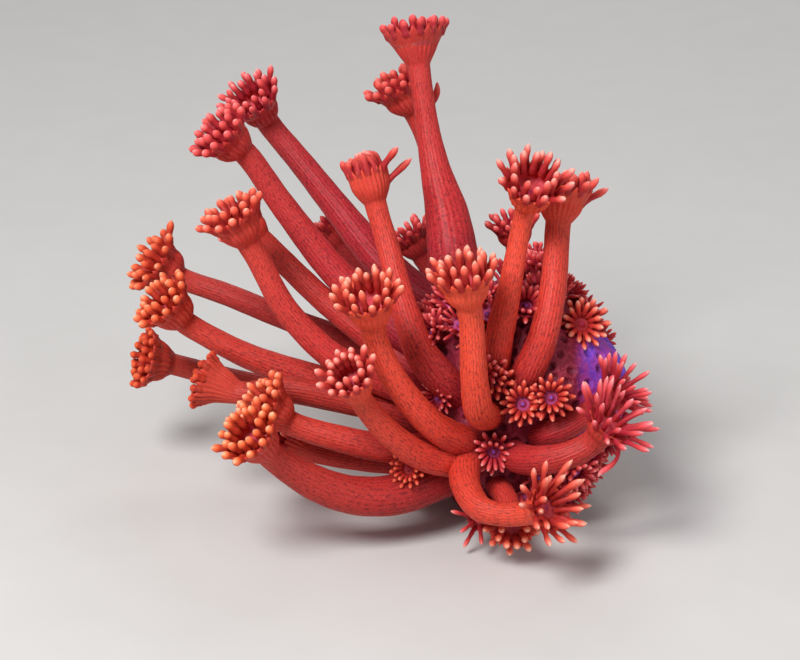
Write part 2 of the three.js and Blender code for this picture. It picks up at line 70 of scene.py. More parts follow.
# How a polyp's head opens. Rim is the radius where its tentacles stand, cup its depth, cone how evenly it widens, web
# how far the lip stands up between the tentacles and flare how far out, scallop the lip's waves as a share of the
# web, and button the mouth's height. Of the tentacles, reach is the length, outer and inner the angles from the
# head's axis at which the two rings start, thickness the radius, curl how many degrees they turn outward, loose
# how many degrees they stray, and uneven the share by which their lengths differ.
CROWN_DEFAULTS = {
    "cone": 0.0, "scallop": 0.22, "button": 1.25, "tentacles": 24, "thickness": 0.9, "curl": -30.0, "loose": 6.0,
    "uneven": 0.13,
}
CROWNS = {
    "bowl": {"rim": 4.4, "cup": 4.6, "web": 3.2, "flare": 1.9, "reach": 4.5, "outer": 40, "inner": 16},
    "ball": {"rim": 4.3, "cup": 4.6, "web": 3.2, "flare": 1.9, "reach": 3.7, "outer": 46, "inner": 20,
             "thickness": 1.04, "loose": 9.0},
    "trumpet": {"rim": 3.8, "cup": 5.4, "web": 3.4, "flare": 1.8, "reach": 2.2, "outer": 38, "inner": 16,
                "cone": 0.8, "thickness": 1.0, "scallop": 0.06, "loose": 9.0},
    "closed": {"rim": 3.9, "cup": 5.0, "web": 3.0, "flare": 0.1, "reach": 4.6, "outer": 6, "inner": 0, "curl": -86},
    "daisy": {"rim": 4.2, "cup": 4.0, "web": 0.9, "flare": 0.9, "reach": 6.8, "outer": 70, "inner": 42,
              "thickness": 0.78, "loose": 11.0, "uneven": 0.24},
    "small": {"rim": 3.5, "cup": 3.6, "web": 1.8, "flare": 1.1, "reach": 3.9, "outer": 50, "inner": 26,
              "thickness": 0.78},
    "aster": {"rim": 2.8, "cup": 2.6, "web": 0.4, "flare": 0.4, "reach": 3.5, "outer": 66, "inner": 52,
              "thickness": 0.72, "curl": -8, "button": 2.2},
    "flower": {"rim": 2.4, "cup": 2.2, "web": 0.4, "flare": 0.4, "reach": 2.9, "outer": 66, "inner": 44,
               "thickness": 0.64, "curl": -12},
    "stray": {"rim": 1.8, "cup": 2.0, "web": 0.3, "flare": 0.2, "reach": 6.2, "outer": 58, "inner": 36,
              "thickness": 0.6, "curl": -10, "tentacles": 8, "uneven": 0.2},
    "bud": {"rim": 1.9, "cup": 1.6, "web": 0.3, "flare": 0.2, "reach": 2.4, "outer": 70, "inner": 48,
            "thickness": 0.48, "curl": -12},
}

# The long polyps: kind of crown, changes to it, and stations on the column. Each station is right, up, near and
# radius; the first lies inside the stony head and the last is the middle of the mouth disc.
LONG_POLYPS = {
    "polyp_front_upper": ("bowl", {}, (
        (-6, 14, 20, 3.8), (-12, 15, 33, 3.9), (-19, 19, 40, 3.5), (-27, 28, 45, 3.1), (-32.5, 38.5, 49, 2.9),
        (-34.6, 48, 55, 3.2),
    )),
    "polyp_front_middle": ("bowl", {"rim": 3.7, "web": 2.8, "flare": 1.0, "reach": 3.9, "outer": 38.0}, (
        (-6, 9, 20, 3.6), (-14, 9.5, 31, 3.7), (-21.5, 11, 37, 3.4), (-30, 17, 44, 3), (-36.4, 24.6, 50, 2.7),
        (-38.8, 29.2, 55.5, 2.9),
    )),
    "polyp_front_centre": ("bowl", {}, (
        (-4, 22, 22, 3.6), (-5.2, 21.2, 35, 3.6), (-7.3, 22.6, 44.5, 3.5), (-8.5, 31.5, 49, 3.2),
        (-9.1, 43.5, 50, 2.9), (-10.6, 53, 54, 3.1),
    )),
    "polyp_right_front": ("bowl", {"reach": 5.2}, (
        (-2, 26, 24, 3.3), (-2.8, 35, 34, 3.4), (-1.6, 44, 38, 3.3), (0.8, 55, 39.5, 2.7), (3, 67, 40, 2.3),
        (4.4, 72.8, 41.6, 2.6), (5.6, 76.8, 45.4, 3.1),
    )),
    "polyp_right_back": ("bowl", {}, (
        (2, 24, 24, 3.8), (4.5, 31, 34, 3.8), (8.5, 40, 37, 3.5), (11, 51, 36, 3.2), (12, 62, 33, 3),
        (12.4, 67.6, 31.5, 3), (13.2, 74.2, 31.5, 3.2),
    )),
    "polyp_front_curled": ("daisy", {}, (
        (-7, 11, 20, 3.9), (-10.3, 9.5, 31, 3.9), (-10.7, 4, 38, 3.5), (-7.6, -1.5, 43.5, 3.1),
        (-2, -3.6, 46.5, 2.7), (4.5, -3.4, 49, 2.8), (9.4, -2, 53, 3.1),
    )),
    "polyp_low_front": ("small", {"reach": 2.8, "outer": 58.0, "web": 1.2, "thickness": 0.86, "tentacles": 16}, (
        (-4, 5, 16, 2.8), (-1.5, 2, 27, 2.8), (0.4, -2.2, 32.5, 2.7), (1, -6.6, 38.5, 2.8),
    )),
    "polyp_right_lower": ("daisy", {"thickness": 0.68}, (
        (0, 13, 22, 3.6), (2.5, 10.5, 33, 3.6), (8, 10, 40, 3.4), (14.5, 11, 43, 3.2), (20.6, 14, 44, 3),
        (25, 18.8, 47.5, 3.1),
    )),
    "polyp_right_upper": ("daisy", {"rim": 3.7, "reach": 6.4, "outer": 62.0, "inner": 38.0, "thickness": 0.66}, (
        (4, 16, 18, 3), (9, 16.6, 31, 3), (15, 18.5, 33, 2.9), (21.5, 22.6, 31, 2.8), (27.2, 27.2, 33.5, 3),
    )),
    "polyp_centre": ("closed", {}, (
        (-8, 24, 18, 4.2), (-15, 29, 28, 4.3), (-22, 37.5, 30, 3.9), (-26.5, 50, 28, 3.1), (-30, 63.5, 25, 2.7),
        (-32.8, 73, 24, 2.6), (-34.6, 79.4, 24.5, 3),
    )),
    "polyp_top": ("bowl", {
        "web": 4.0, "flare": 2.6, "reach": 3.5, "outer": 30.0, "inner": 10.0, "thickness": 1.0, "cone": 0.7,
    }, (
        (-8, 46, 6, 6.4), (-13, 58, 8, 6.4), (-15.2, 71, 7, 5.4), (-18, 82, 6, 3.8), (-20.2, 94, 5, 2.8),
        (-22, 106, 4.5, 2.7), (-22.9, 113.2, 4.5, 3.2),
    )),
    "polyp_top_behind": ("ball", {}, (
        (-6, 46, -6, 3.6), (-11, 60, -10, 3.4), (-16.5, 78, -13, 2.9), (-21.5, 93, -13, 2.7),
        (-26, 101, -10.5, 2.9),
    )),
    "polyp_upper_left": ("ball", {}, (
        (-10, 34, 6, 4.4), (-20, 38, 12, 4.3), (-31, 45.5, 11, 4.1), (-44, 58, 10, 3.7), (-56.5, 74, 10, 3.1),
        (-64.6, 85.4, 12, 2.9), (-69.5, 89.8, 15, 3.2),
    )),
    "polyp_upper_left_back": ("bowl", {"rim": 3.9}, (
        (-8, 44, -2, 4.6), (-20, 50, -2, 4.6), (-32, 60, -4, 4.3), (-45, 76, -7, 3.4), (-54, 87, -9, 3),
        (-59.4, 93.6, -9, 2.9), (-62.3, 98, -5, 3.1),
    )),
    "polyp_left_upper": ("ball", {}, (
        (-10, 24, 10, 3.8), (-22, 27, 20, 3.9), (-33, 30.5, 23, 3.7), (-44, 36, 24, 3.3), (-55, 47, 25, 3),
        (-62.8, 60.6, 27, 2.8), (-67.4, 68.4, 30.2, 3.1),
    )),
    "polyp_left_upper_behind": ("small", {}, (
        (-10, 30, 4, 3.6), (-20, 32, 9, 3.6), (-31, 38, 8, 3.4), (-46, 50, 6, 3), (-59, 62.5, 4, 2.8),
        (-64.5, 67.5, 4, 2.9),
    )),
    "polyp_left_high": ("ball", {"rim": 4.6, "reach": 4.3, "outer": 52.0}, (
        (-9, 28, -6, 3.6), (-21, 32, -7, 3.6), (-37, 38.5, -8, 3.3), (-53, 44.5, -9, 3), (-70, 51.2, -10, 2.8),
        (-80.6, 55, -10.2, 2.7), (-85.8, 58, -8.4, 3.1),
    )),
    "polyp_left_middle": ("ball", {}, (
        (-10, 22, 2, 4.6), (-21, 24.5, 6, 4.7), (-33, 26.5, 7, 4.5), (-48, 30, 8, 3.9), (-65, 36, 9, 3.1),
        (-78.6, 43, 10, 2.8), (-83.9, 47.6, 13.5, 3.2),
    )),
    "polyp_left_low_back": ("trumpet", {"rim": 4.4, "cup": 4.6, "web": 3.2, "flare": 2.4, "cone": 0.4}, (
        (-8, 20, -10, 3.6), (-21, 21, -13, 3.6), (-42, 25, -13, 3.2), (-64, 29, -12, 2.8),
        (-82.3, 33.6, -11, 2.7), (-88, 34.8, -9, 2.9),
    )),
    "polyp_left_low": ("trumpet", {}, (
        (-10, 17, 6, 3.8), (-21, 19.5, 15, 3.8), (-32, 23, 18, 3.6), (-44.5, 26, 19, 3.2), (-56, 27.8, 19, 3),
        (-66, 26.6, 18.5, 2.8), (-72.6, 28.8, 17, 3),
    )),
    "polyp_front_left_upper": ("ball", {}, (
        (-9, 13, 14, 3.7), (-19, 13, 25, 3.7), (-31, 13, 28.5, 3.5), (-44, 15.8, 29, 3.1), (-53.4, 18.8, 29, 2.9),
        (-58.8, 22.4, 31.5, 3.1),
    )),
    "polyp_front_left_lower": ("ball", {}, (
        (-7, 9, 14, 4.8), (-17, 5.5, 25, 4.9), (-27, 1.6, 29, 4.9), (-38, 1, 33, 4.6), (-48.5, 4.4, 38, 4.1),
        (-57.5, 9.8, 44, 3.2), (-62.8, 14.6, 49.5, 3.2),
    )),
    "polyp_front_left_behind": ("small", {}, (
        (-9, 10, 6, 3), (-20, 9.6, 14, 3), (-34, 9.8, 17, 2.8), (-48, 12, 18, 2.7), (-55, 15, 20, 2.8),
    )),
}

# Polyps of middle length, between the long ones and behind them.
MIDDLE_POLYPS = {
    "polyp_low_tips": ("stray", {}, (
        (-4.5, 1, 14, 1.9), (-6.2, -2, 22, 1.8), (-7.2, -5, 29, 1.7),
    )),
    "polyp_low_flower": ("flower", {"rim": 2.0, "reach": 2.3, "outer": 56.0, "inner": 36.0, "thickness": 0.54}, (
        (-8, 10, 8, 1.6), (-16, 9.4, 19, 1.6), (-21.6, 8.8, 27, 1.4), (-24.9, 7.8, 34, 1.5),
    )),
    "polyp_right_open": ("aster", {}, (
        (6, 24, 6, 3), (13, 35, 11, 3), (16.8, 42.4, 19, 2.7), (18.3, 44, 26, 2.7),
    )),
    "polyp_low_left": ("flower", {}, (
        (-6, 14, 6, 2.6), (-14, 11, 11, 2.6), (-20.5, 8.5, 14, 2.4), (-25.5, 7, 17.5, 2.4),
    )),
    "polyp_rear_left": ("small", {}, (
        (-8, 34, -4, 3.4), (-20, 42, -14, 3.3), (-33, 55, -20, 3), (-43.5, 66.5, -21, 2.9),
    )),
    "polyp_rear_middle": ("small", {}, (
        (-6, 40, -8, 3.3), (-13, 50, -16, 3.2), (-19, 58, -20, 3), (-23.5, 64.5, -19, 2.9),
    )),
    "polyp_rear_top": ("small", {}, (
        (2, 42, -8, 3.3), (2.6, 53, -13, 3.2), (2.4, 62, -15, 2.9), (1.6, 67, -13, 2.9),
    )),
    "polyp_rear_right": ("flower", {}, (
        (7, 42, -4, 2.8), (7, 50, -7, 2.8), (7.2, 57, -7, 2.7), (7.5, 61, -5, 2.6),
    )),
    "polyp_back_left": ("small", {}, (
        (-6, 20, -14, 3.6), (-16, 24, -30, 3.4), (-26, 30, -42, 3), (-36, 38, -50, 3),
    )),
    "polyp_back_middle": ("small", {}, (
        (2, 16, -14, 3.6), (0, 22, -32, 3.4), (-4, 30, -44, 3), (-8, 38, -54, 3),
    )),
    "polyp_back_right": ("small", {}, (
        (8, 18, -12, 3.4), (10, 24, -27, 3.2), (12, 30, -38, 3), (11, 37, -47, 3),
    )),
    "polyp_back_top": ("small", {}, (
        (-2, 38, -12, 3.6), (-7, 44, -28, 3.4), (-13, 50, -38, 3), (-17, 56, -46, 3),
    )),
}

# Short polyps on the head: kind of crown, azimuth in degrees, level of the root above the cut, height of the mouth,
# and the tilt, how much of the upward direction is added to the skin's own.
SHORT_POLYPS = {
    "short_front_low": ("flower", -101, 25, 4.6, 0.0),
    "short_front_left": ("flower", -107, 43, 4.2, 0.0),
    "short_front_middle": ("flower", -83.5, 35.6, 4.4, 0.35),
    "short_front_centre": ("flower", -100.5, 39.5, 4.4, 0.35),
    "short_front_right": ("flower", -69.5, 37.2, 5.0, 0.35),
    "short_front_high": ("flower", -76, 54, 4.4, 0.0),
    "short_right_low": ("flower", -48, 17, 4.2, 0.0),
    "short_left_middle": ("bud", -138, 35, 3.6, 0.0),
    "short_left_high": ("flower", -152, 47, 4.4, 0.0),
    "short_top": ("flower", 35, 56, 5.0, 0.0),
    "short_right_back": ("flower", 12, 22, 4.4, 0.0),
    "short_back_right": ("flower", 38, 40, 4.4, 0.0),
    "short_back_middle": ("flower", 92, 44, 4.4, 0.0),
}

# Small polyps that have no solid of their own.
ALONE = ("polyp_low_tips", "polyp_low_flower", "short_front_centre")

# Points of a path between two stations, and rings of a strand.
SAMPLES_PER_SPAN = 24
STRAND_RINGS = 20

# Bodies: rings a millimetre apart on a column, rings in a cup, ribs, and points around a ring.
RING_STEP = 1.0
CUP_RINGS = 14
RIBS = 24
COLUMN_SIDES = 96
SHORT_COLUMN_SIDES = 48

# The lip's wall starts this far outside the rim and climbs in shares of the web. The disc runs in from the lip in
# shares of its radius, to a mouth whose radius is a share of the rim's.
LIP_MARGIN = 0.75
WALL_POWER = 1.2
WALL_CLIMB = np.array([0.25, 0.5, 0.75, 1.0])
DISC_INWARD = np.array([0.94, 0.87, 0.78, 0.68, 0.58, 0.48, 0.38, 0.27, 0.19, 0.12, 0.06])
FLOOR_DIP = 0.5
MOUTH_SHARE = 0.36
MOUTH_PIT = 0.9

# The ribs' height in millimetres, and the swellings that make a body uneven: height, waves around, radians for each
# millimetre along, and how far the polyp's seed shifts them.
RIB_ON_COLUMN = 0.07
RIB_ADDED_ON_CUP = 0.17
RIB_ON_WALL = 0.24
RIB_ADDED_ON_WALL = 0.16
RIB_ON_DISC = 0.30
SWELLINGS = ((0.10, 3, 0.19, 1.0), (0.07, 5, -0.31, 2.1), (0.05, 2, 0.9, 3.7))

# Tentacles: steps along a centre line, points around it, how deep one is rooted as a share of the rim, how much
# paler its inner side is, and by how many degrees its place and its heading stray.
FINGER_STEPS = 24
FINGER_SIDES = 8
SHORT_FINGER_SIDES = 6
FINGER_ROOT = 0.35
PALE_INSIDE = 0.07
PLACE_STRAY = 1.8
HEADING_STRAY = 6.0

# Short polyps: how deep they are rooted, their column's radius as a share of the rim's, and their tentacles' scatter.
SHORT_ROOT = 2.5
SHORT_COLUMN_SHARE = 0.72
SHORT_LOOSE = 9.0

# The small half-closed polyps that cover the head: how many places are tried and between which levels, how far they
# keep from a short polyp's root, in how many pieces they are merged, and the form of their bodies and tentacles.
COVER_COUNT = 210
COVER_LEVELS = (8.0, 56.0)
COVER_ROOM = 5.6
COVER_PIECES = 3
COVER_ROOT = 1.2
COVER_SIDES = 24
COVER_RIBS = 12
COVER_FINGERS = 14
COVER_FINGER_SIDES = 5
COVER_LOOSE = 12.0

# The head's grid, and its pits, their rims and its lumps in millimetres.
HEAD_COLUMNS = 320
HEAD_ROWS = 150
CORALLITE_COUNT = 520
PIT_EDGE = (0.35, 1.35)
PIT_DEPTH = 0.75
RIM_RADIUS = 1.55
RIM_WIDTH = 0.4
RIM_HEIGHT = 0.18
LUMP_HEIGHT = 0.25

# The flank of the head that no polyp covers: centres and half widths, in millimetres.
BARE_PATCHES = (
    (np.array([25.0, -7.0, 37.0]), np.array([12.0, 14.0, 12.5])),
    (np.array([23.0, -14.0, 22.0]), np.array([8.0, 8.0, 7.0])),
)

# Tentacles that stand away from their crown: the direction as right, up and near, the degrees and the share of
# length added, and how far down the cup in millimetres the tentacle is rooted.
LEANS = {
    "polyp_centre": ((1.0, 0.0, 0.6, 20.0, 0.5, 1.0), (1.0, 0.0, -0.2, 22.0, 1.45, 6.0)),
    "polyp_right_back": ((1.0, 0.0, 0.5, -20.0, 0.45, 1.5), (1.0, 0.0, -0.4, 0.0, 0.62, 3.0)),
    "polyp_left_high": ((0.2, 1.0, 0.0, 8.0, 0.15, 0.0),),
    "polyp_top_behind": ((1.0, 0.2, 0.0, 4.0, 0.3, 0.0),),
    "polyp_upper_left_back": ((-1.0, 0.4, 0.0, 2.0, 0.0, 0.0), (0.3, 1.0, 0.0, -18.0, 0.35, 0.0)),
}

# A tentacle that hangs apart from its polyp's crown, as stations like a column's.
STRANDS = {
    "polyp_top_behind": [
        [-24, 98.5, -9.5, 0.8], [-21, 98, -9.5, 0.6], [-18.8, 99.4, -8.5, 0.7], [-17.8, 102, -8, 0.9],
        [-17.7, 104.2, -8, 0.35],
    ],
    "polyp_right_lower": [
        [25.8, 16.4, 47.5, 0.8], [27.2, 13.8, 48, 0.7], [27.6, 11.6, 48, 0.5], [26.8, 9.7, 47.5, 0.5],
        [25.2, 8.2, 47, 0.66], [23.4, 7.0, 46.5, 0.6], [22.6, 6.0, 46, 0.25],
    ],
}

# Each polyp's warmth (0 crimson, 1 orange), partly its own hue and partly painted light, more orange where it faces
# the light; how far the light colour reaches down its tentacles, lowered partly as painted shade on polyps that lie
# back from the light; how golden that colour is; and how dark its column is, a painted shade on polyps that lie
# back from the light.
TONES = {
    "polyp_front_upper": (0.8, 0.2, 0.55, 0.08), "polyp_front_middle": (0.7, 0.1, 0.35, 0.08),
    "polyp_front_centre": (0.95, 0.3, 0.5, 0.16), "polyp_right_front": (0.8, 0.2, 0.3, 0.04),
    "polyp_right_back": (0.6, 0.1, 0.3, 0.04), "polyp_front_curled": (0.8, 0.1, 0.5, 0.14),
    "polyp_low_front": (0.5, 0.1, 0.6, 0.1), "polyp_right_lower": (0.35, 0.0, 0.0, 0.18),
    "polyp_right_upper": (0.2, 0.0, 0.0, 0.1), "polyp_centre": (0.5, -0.2, 0.3, 0.0),
    "polyp_top": (0.25, -0.2, 0.1, 0.0), "polyp_top_behind": (0.3, -0.7, 0.3, 0.1),
    "polyp_upper_left": (0.2, -0.35, 0.15, 0.04), "polyp_upper_left_back": (0.1, -0.3, 0.1, 0.14),
    "polyp_left_upper": (0.4, 0.0, 0.55, 0.06), "polyp_left_high": (0.4, -0.4, 0.8, 0.3),
    "polyp_left_middle": (0.5, -0.15, 0.85, 0.12), "polyp_left_low_back": (0.6, -1.3, 0.9, 0.5),
    "polyp_left_low": (0.6, -1.2, 0.9, 0.36), "polyp_front_left_lower": (0.45, -0.1, 0.9, 0.32),
    "polyp_front_left_upper": (0.5, 0.0, 0.8, 0.12), "polyp_right_open": (0.5, 0.0, 0.5, 0.0),
    "polyp_low_flower": (0.6, -1.2, 0.6, 0.2), "short_front_middle": (0.3, -0.8, 0.5, 0.0),
    "short_front_right": (0.3, -0.8, 0.5, 0.0), "short_front_centre": (0.3, -0.8, 0.5, 0.0),
}
LONG_TONE, MIDDLE_TONE, SHORT_TONE = (0.4, 0.0, 0.4, 0.1), (0.15, -0.4, 0.15, 0.15), (0.2, -0.5, 0.1, 0.0)

# The warm colours, orange and brightest at the collar, stand partly for painted light on the polyps that face the
# light.
TISSUE_COLOURS = {
    "long": {
        "root": "#881634", "column": "#b62436", "collar": "#b02a32", "warm": "#de4228", "warm_collar": "#f2583a",
        "dash": "#560c1a", "fleck": "#ec6c58", "disc": "#c03442", "disc_light": "#d8525a", "mouth": "#98284a",
    },
    "short": {
        "root": "#721830", "column": "#9a2638", "collar": "#a42c38", "warm": "#b4342e", "warm_collar": "#b03430",
        "dash": "#581022", "fleck": "#d06860", "disc": "#962a4c", "disc_light": "#c04c84", "mouth": "#7c48a8",
    },
}

# The head's colours: two that mingle where polyps stand, two where it is bare, and what rims, the painted shade in
# the pits, and flecks have in the one place and in the other.
HEAD_COLOURS = {
    "general": ("#6e1429", "#902238"), "violet": ("#6e40c8", "#9c3aa0"), "rims": ("#c0485c", "#b85ac0"),
    "pit_shade": ("#4c0c20", "#3c1448"), "flecks": ("#cc5064", "#c070c8"),
}

# Colours along a tentacle, from its root to its tip, on the rosy polyps and on the golden ones. The palest stop at
# the very end is a painted highlight over the tips' own pale colour.
ROSY_TENTACLE = (
    (0.0, "#a82236"), (0.52, "#b02a38"), (0.64, "#bc383e"), (0.75, "#d84a4e"), (0.88, "#ee6872"), (1.0, "#ffa6a4"),
)
GOLDEN_TENTACLE = (
    (0.0, "#b03018"), (0.52, "#b8361e"), (0.64, "#c64424"), (0.75, "#de5c2e"), (0.88, "#f07c48"), (1.0, "#ffb48a"),
)

# A tentacle's outline, share of its length against share of its thickness: a stalk that swells to a blunt tip.
FINGER_OUTLINE = np.array([
    [0.0, 0.30], [0.12, 1.02], [0.32, 0.98], [0.52, 0.80], [0.64, 0.90], [0.75, 1.0], [0.86, 0.80], [0.95, 0.36],
])
SHORT_FINGER_OUTLINE = np.array([[0.0, 0.7], [0.30, 0.94], [0.68, 1.04], [0.88, 0.70], [0.97, 0.34]])


def unit(vectors):
    """Each row divided by its length."""
    return vectors / np.maximum(np.linalg.norm(vectors, axis=-1, keepdims=True), 1e-12)


def smooth(value, start, end):
    """0 below start, 1 above end, and the cubic 3q^2 - 2q^3 between them."""
    q = np.clip((np.asarray(value, float) - start) / (end - start), 0.0, 1.0)
    return q * q * (3.0 - 2.0 * q)


def scatter(index, row):
    """A repeatable value from -1 to 1: twice the fraction of a large multiple of a sine, less one."""
    value = np.sin(np.asarray(index, float) * 12.9898 + row * 78.233) * 43758.5453
    return 2.0 * (value - np.floor(value)) - 1.0


def seen_at(right, up, near):
    """The point that the eye meets at right and up, as near as given, in the frame's millimetres."""
    shrink = 1.0 - np.asarray(near, float) / VIEW_DISTANCE
    across = PICTURE_CENTRE[0] + (np.asarray(right, float) - PICTURE_CENTRE[0]) * shrink
    above = PICTURE_CENTRE[1] + (np.asarray(up, float) - PICTURE_CENTRE[1]) * shrink
    return across[..., None] * RIGHT + above[..., None] * UP + np.asarray(near, float)[..., None] * NEAR


def head_radius(level, azimuth):
    """Radius of the head: dome R (1 - |q|^p)^(1/p) and a round shoulder, blended as an 8-norm, times low lumps."""
    level, azimuth = np.broadcast_arrays(np.asarray(level, float), np.asarray(azimuth, float))
    half = np.where(level < DOME["middle"], DOME["below"], DOME["above"])
    rise = np.clip(np.abs(level - DOME["middle"]) / half, 0.0, 1.0)
    dome = DOME["radius"] * (1.0 - rise ** DOME["power"]) ** (1.0 / DOME["power"])
    lift = np.clip(np.abs(level - SHOULDER["z"]) / SHOULDER["half"], 0.0, 1.0)
    reach = SHOULDER["radius"] * np.sqrt(1.0 - lift * lift)
    along = SHOULDER["x"] * np.cos(azimuth) + SHOULDER["y"] * np.sin(azimuth)
    beside = SHOULDER["x"] * np.sin(azimuth) - SHOULDER["y"] * np.cos(azimuth)
    inside = reach * reach - beside * beside
    lobe = np.where(inside > 0, np.maximum(along + np.sqrt(np.maximum(inside, 0.0)), 0.0), 0.0)
    both = (dome ** LOBE_BLEND + lobe ** LOBE_BLEND) ** (1.0 / LOBE_BLEND)
    broad = 0.035 * np.sin(3 * azimuth + 0.09 * level)
    small = 0.03 * np.sin(5 * azimuth - 0.13 * level + 1.0)
    return both * (1.0 + broad + small)


def head_point(level, azimuth):
    """Point of the head's skin at a level and an azimuth."""
    radius = head_radius(level, azimuth)
    return np.stack([radius * np.cos(azimuth), radius * np.sin(azimuth), level + 0.0 * radius], axis=-1)


def head_normal(level, azimuth):
    """Outward normal of the head: cross product of the steps around it and up it."""
    around = head_point(level, azimuth + 0.05) - head_point(level, azimuth - 0.05)
    above = head_point(level + 0.8, azimuth) - head_point(level - 0.8, azimuth)
    return unit(np.cross(around, above))


def trace_path(knots):
    """Uniform Catmull-Rom spline through rows of x, y, z and radius, its ends mirrored.

    The frame beside the path comes from one fixed direction, the one that the path turns about: the normal is
    that direction crossed with the path's own, so the frame never twists.
    """
    knots = np.asarray(knots, float)
    row = np.vstack([2 * knots[0] - knots[1], knots, 2 * knots[-1] - knots[-2]])
    count = len(knots) - 1
    where = np.linspace(0.0, count, count * SAMPLES_PER_SPAN + 1)
    span = np.minimum(where.astype(int), count - 1)
    t = (where - span)[:, None]
    before, start, end, after = (row[span + k] for k in range(4))
    bend = (2 * before - 5 * start + 4 * end - after) * t ** 2
    twist = (3 * start - before - 3 * end + after) * t ** 3
    value = start + 0.5 * ((end - before) * t + bend + twist)
    centre = value[:, :3]
    along = unit(np.gradient(centre, axis=0))
    steps = np.linalg.norm(np.diff(centre, axis=0), axis=1)
    turned_about = np.linalg.svd(along)[2][2]
    normal = unit(np.cross(turned_about, along))
    return {
        "length": np.concatenate([[0.0], np.cumsum(steps)]),
        "centre": centre, "radius": value[:, 3], "along": along,
        "normal": normal, "side": np.cross(along, normal),
    }


def traced(stations):
    """The path through stations of right, up, near and radius."""
    stations = np.array(stations, float)
    return trace_path(np.column_stack([seen_at(stations[:, 0], stations[:, 1], stations[:, 2]), stations[:, 3]]))


def crown_of(kind, changes):
    """A crown of its kind: the defaults, then the kind's own values, then the changes."""
    return {**CROWN_DEFAULTS, **CROWNS[kind], **changes}


def path_at(path, distance):
    """The path's centre, radius and frame at distances along it, by linear interpolation."""
    def read(values):
        return np.stack([np.interp(distance, path["length"], column) for column in values.T], axis=-1)
    radius = np.interp(distance, path["length"], path["radius"])
    return (read(path["centre"]), radius, *(unit(read(path[key])) for key in ("normal", "side", "along")))


class Shell:
    """Vertices, faces and per-vertex values of one mesh, gathered as arrays."""

    def __init__(self):
        self.points, self.quads, self.triangles = [], [], []
        self.values = {"skin_place": [], "skin_zone": [], "skin_tone": []}
        self.count = 0

    def add(self, points, quads, triangles, place, zone, tone):
        """Adds points with their faces and values: place in mm on the skin, zone and tone as three shares each."""
        points = points.reshape(-1, 3)
        self.points.append(points)
        self.quads.append(quads.reshape(-1, 4) + self.count)
        self.triangles.append(triangles.reshape(-1, 3) + self.count)
        for key, value in (("skin_place", place), ("skin_zone", zone), ("skin_tone", tone)):
            self.values[key].append(np.broadcast_to(value, points.shape).reshape(-1, 3))
        self.count += len(points)

    def build(self, name, material, slot_name, replaces=()):
        """Makes the object: foreach_set fills the mesh, and it rides on the colony's one body."""
        points = np.vstack(self.points) * MM
        quads, triangles = np.vstack(self.quads), np.vstack(self.triangles)
        mesh = bpy.data.meshes.new(name)
        mesh.vertices.add(len(points))
        mesh.vertices.foreach_set("co", points.astype(np.float32).ravel())
        corners = np.concatenate([quads.ravel(), triangles.ravel()])
        starts = np.concatenate([np.arange(len(quads)) * 4, len(quads) * 4 + np.arange(len(triangles)) * 3])
        mesh.loops.add(len(corners))
        mesh.loops.foreach_set("vertex_index", corners.astype(np.int32))
        mesh.polygons.add(len(starts))
        mesh.polygons.foreach_set("loop_start", starts.astype(np.int32))
        mesh.update(calc_edges=True)
        mesh.polygons.foreach_set("use_smooth", np.ones(len(starts), bool))
        for key, parts in self.values.items():
            layer = mesh.attributes.new(key, "FLOAT_VECTOR", "POINT")
            layer.data.foreach_set("vector", np.vstack(parts).astype(np.float32).ravel())
        mesh.validate()
        mesh.materials.append(material)
        piece = bpy.data.objects.new(name, mesh)
        bpy.context.scene.collection.objects.link(piece)
        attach(piece, "root")
        if replaces:
            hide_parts(*replaces)
        return piece


def tube_faces(rings, sides, copies=1):
    """Quads and end fans of closed tubes.

    Each copy has rings times sides points, ring after ring, then a point at its start and one at its end.
    """
    ring = np.arange(rings - 1)[:, None] * sides
    i = np.arange(sides)[None, :]
    j = (i + 1) % sides
    quads = np.stack([ring + i, ring + j, ring + sides + j, ring + sides + i], axis=-1).reshape(-1, 4)
    first, last = rings * sides, rings * sides + 1
    i, j = i[0], j[0]
    bottom = np.stack([np.full(sides, first), j, i], axis=-1)
    top = np.stack([np.full(sides, last), (rings - 1) * sides + i, (rings - 1) * sides + j], axis=-1)
    triangles = np.vstack([bottom, top])
    offset = (np.arange(copies) * (rings * sides + 2))[:, None, None]
    return (quads[None] + offset).reshape(-1, 4), (triangles[None] + offset).reshape(-1, 3)


def mouth_profile(crown):
    """The lip's radius, then radius, height and scallop from the wall's foot over the lip and in to the mouth.

    At share q of its height the wall's radius is lip - flare (1 - q)^1.2. The disc drops to its floor and rises to
    the mouth by button exp(-((r - 0.12 m) / 0.62 m)^2), less a pit 0.9 exp(-(r / 0.3 m)^2), m the mouth's radius.
    """
    lip = crown["rim"] + LIP_MARGIN + crown["flare"]
    wall = lip - crown["flare"] * (1 - WALL_CLIMB) ** WALL_POWER
    disc = lip * DISC_INWARD
    mouth = crown["rim"] * MOUTH_SHARE
    down = 1 - smooth(1 - DISC_INWARD, 0.03, 0.38)
    height = crown["web"] * down - FLOOR_DIP * smooth(1 - DISC_INWARD, 0.2, 0.5)
    height = height + crown["button"] * np.exp(-((disc - 0.12 * mouth) / (0.62 * mouth)) ** 2)
    height = height - MOUTH_PIT * np.exp(-(disc / (0.3 * mouth)) ** 2)
    scallop = np.concatenate([WALL_CLIMB, down]) * crown["scallop"] * crown["web"]
    return lip, np.concatenate([wall, disc]), np.concatenate([crown["web"] * WALL_CLIMB, height]), scallop


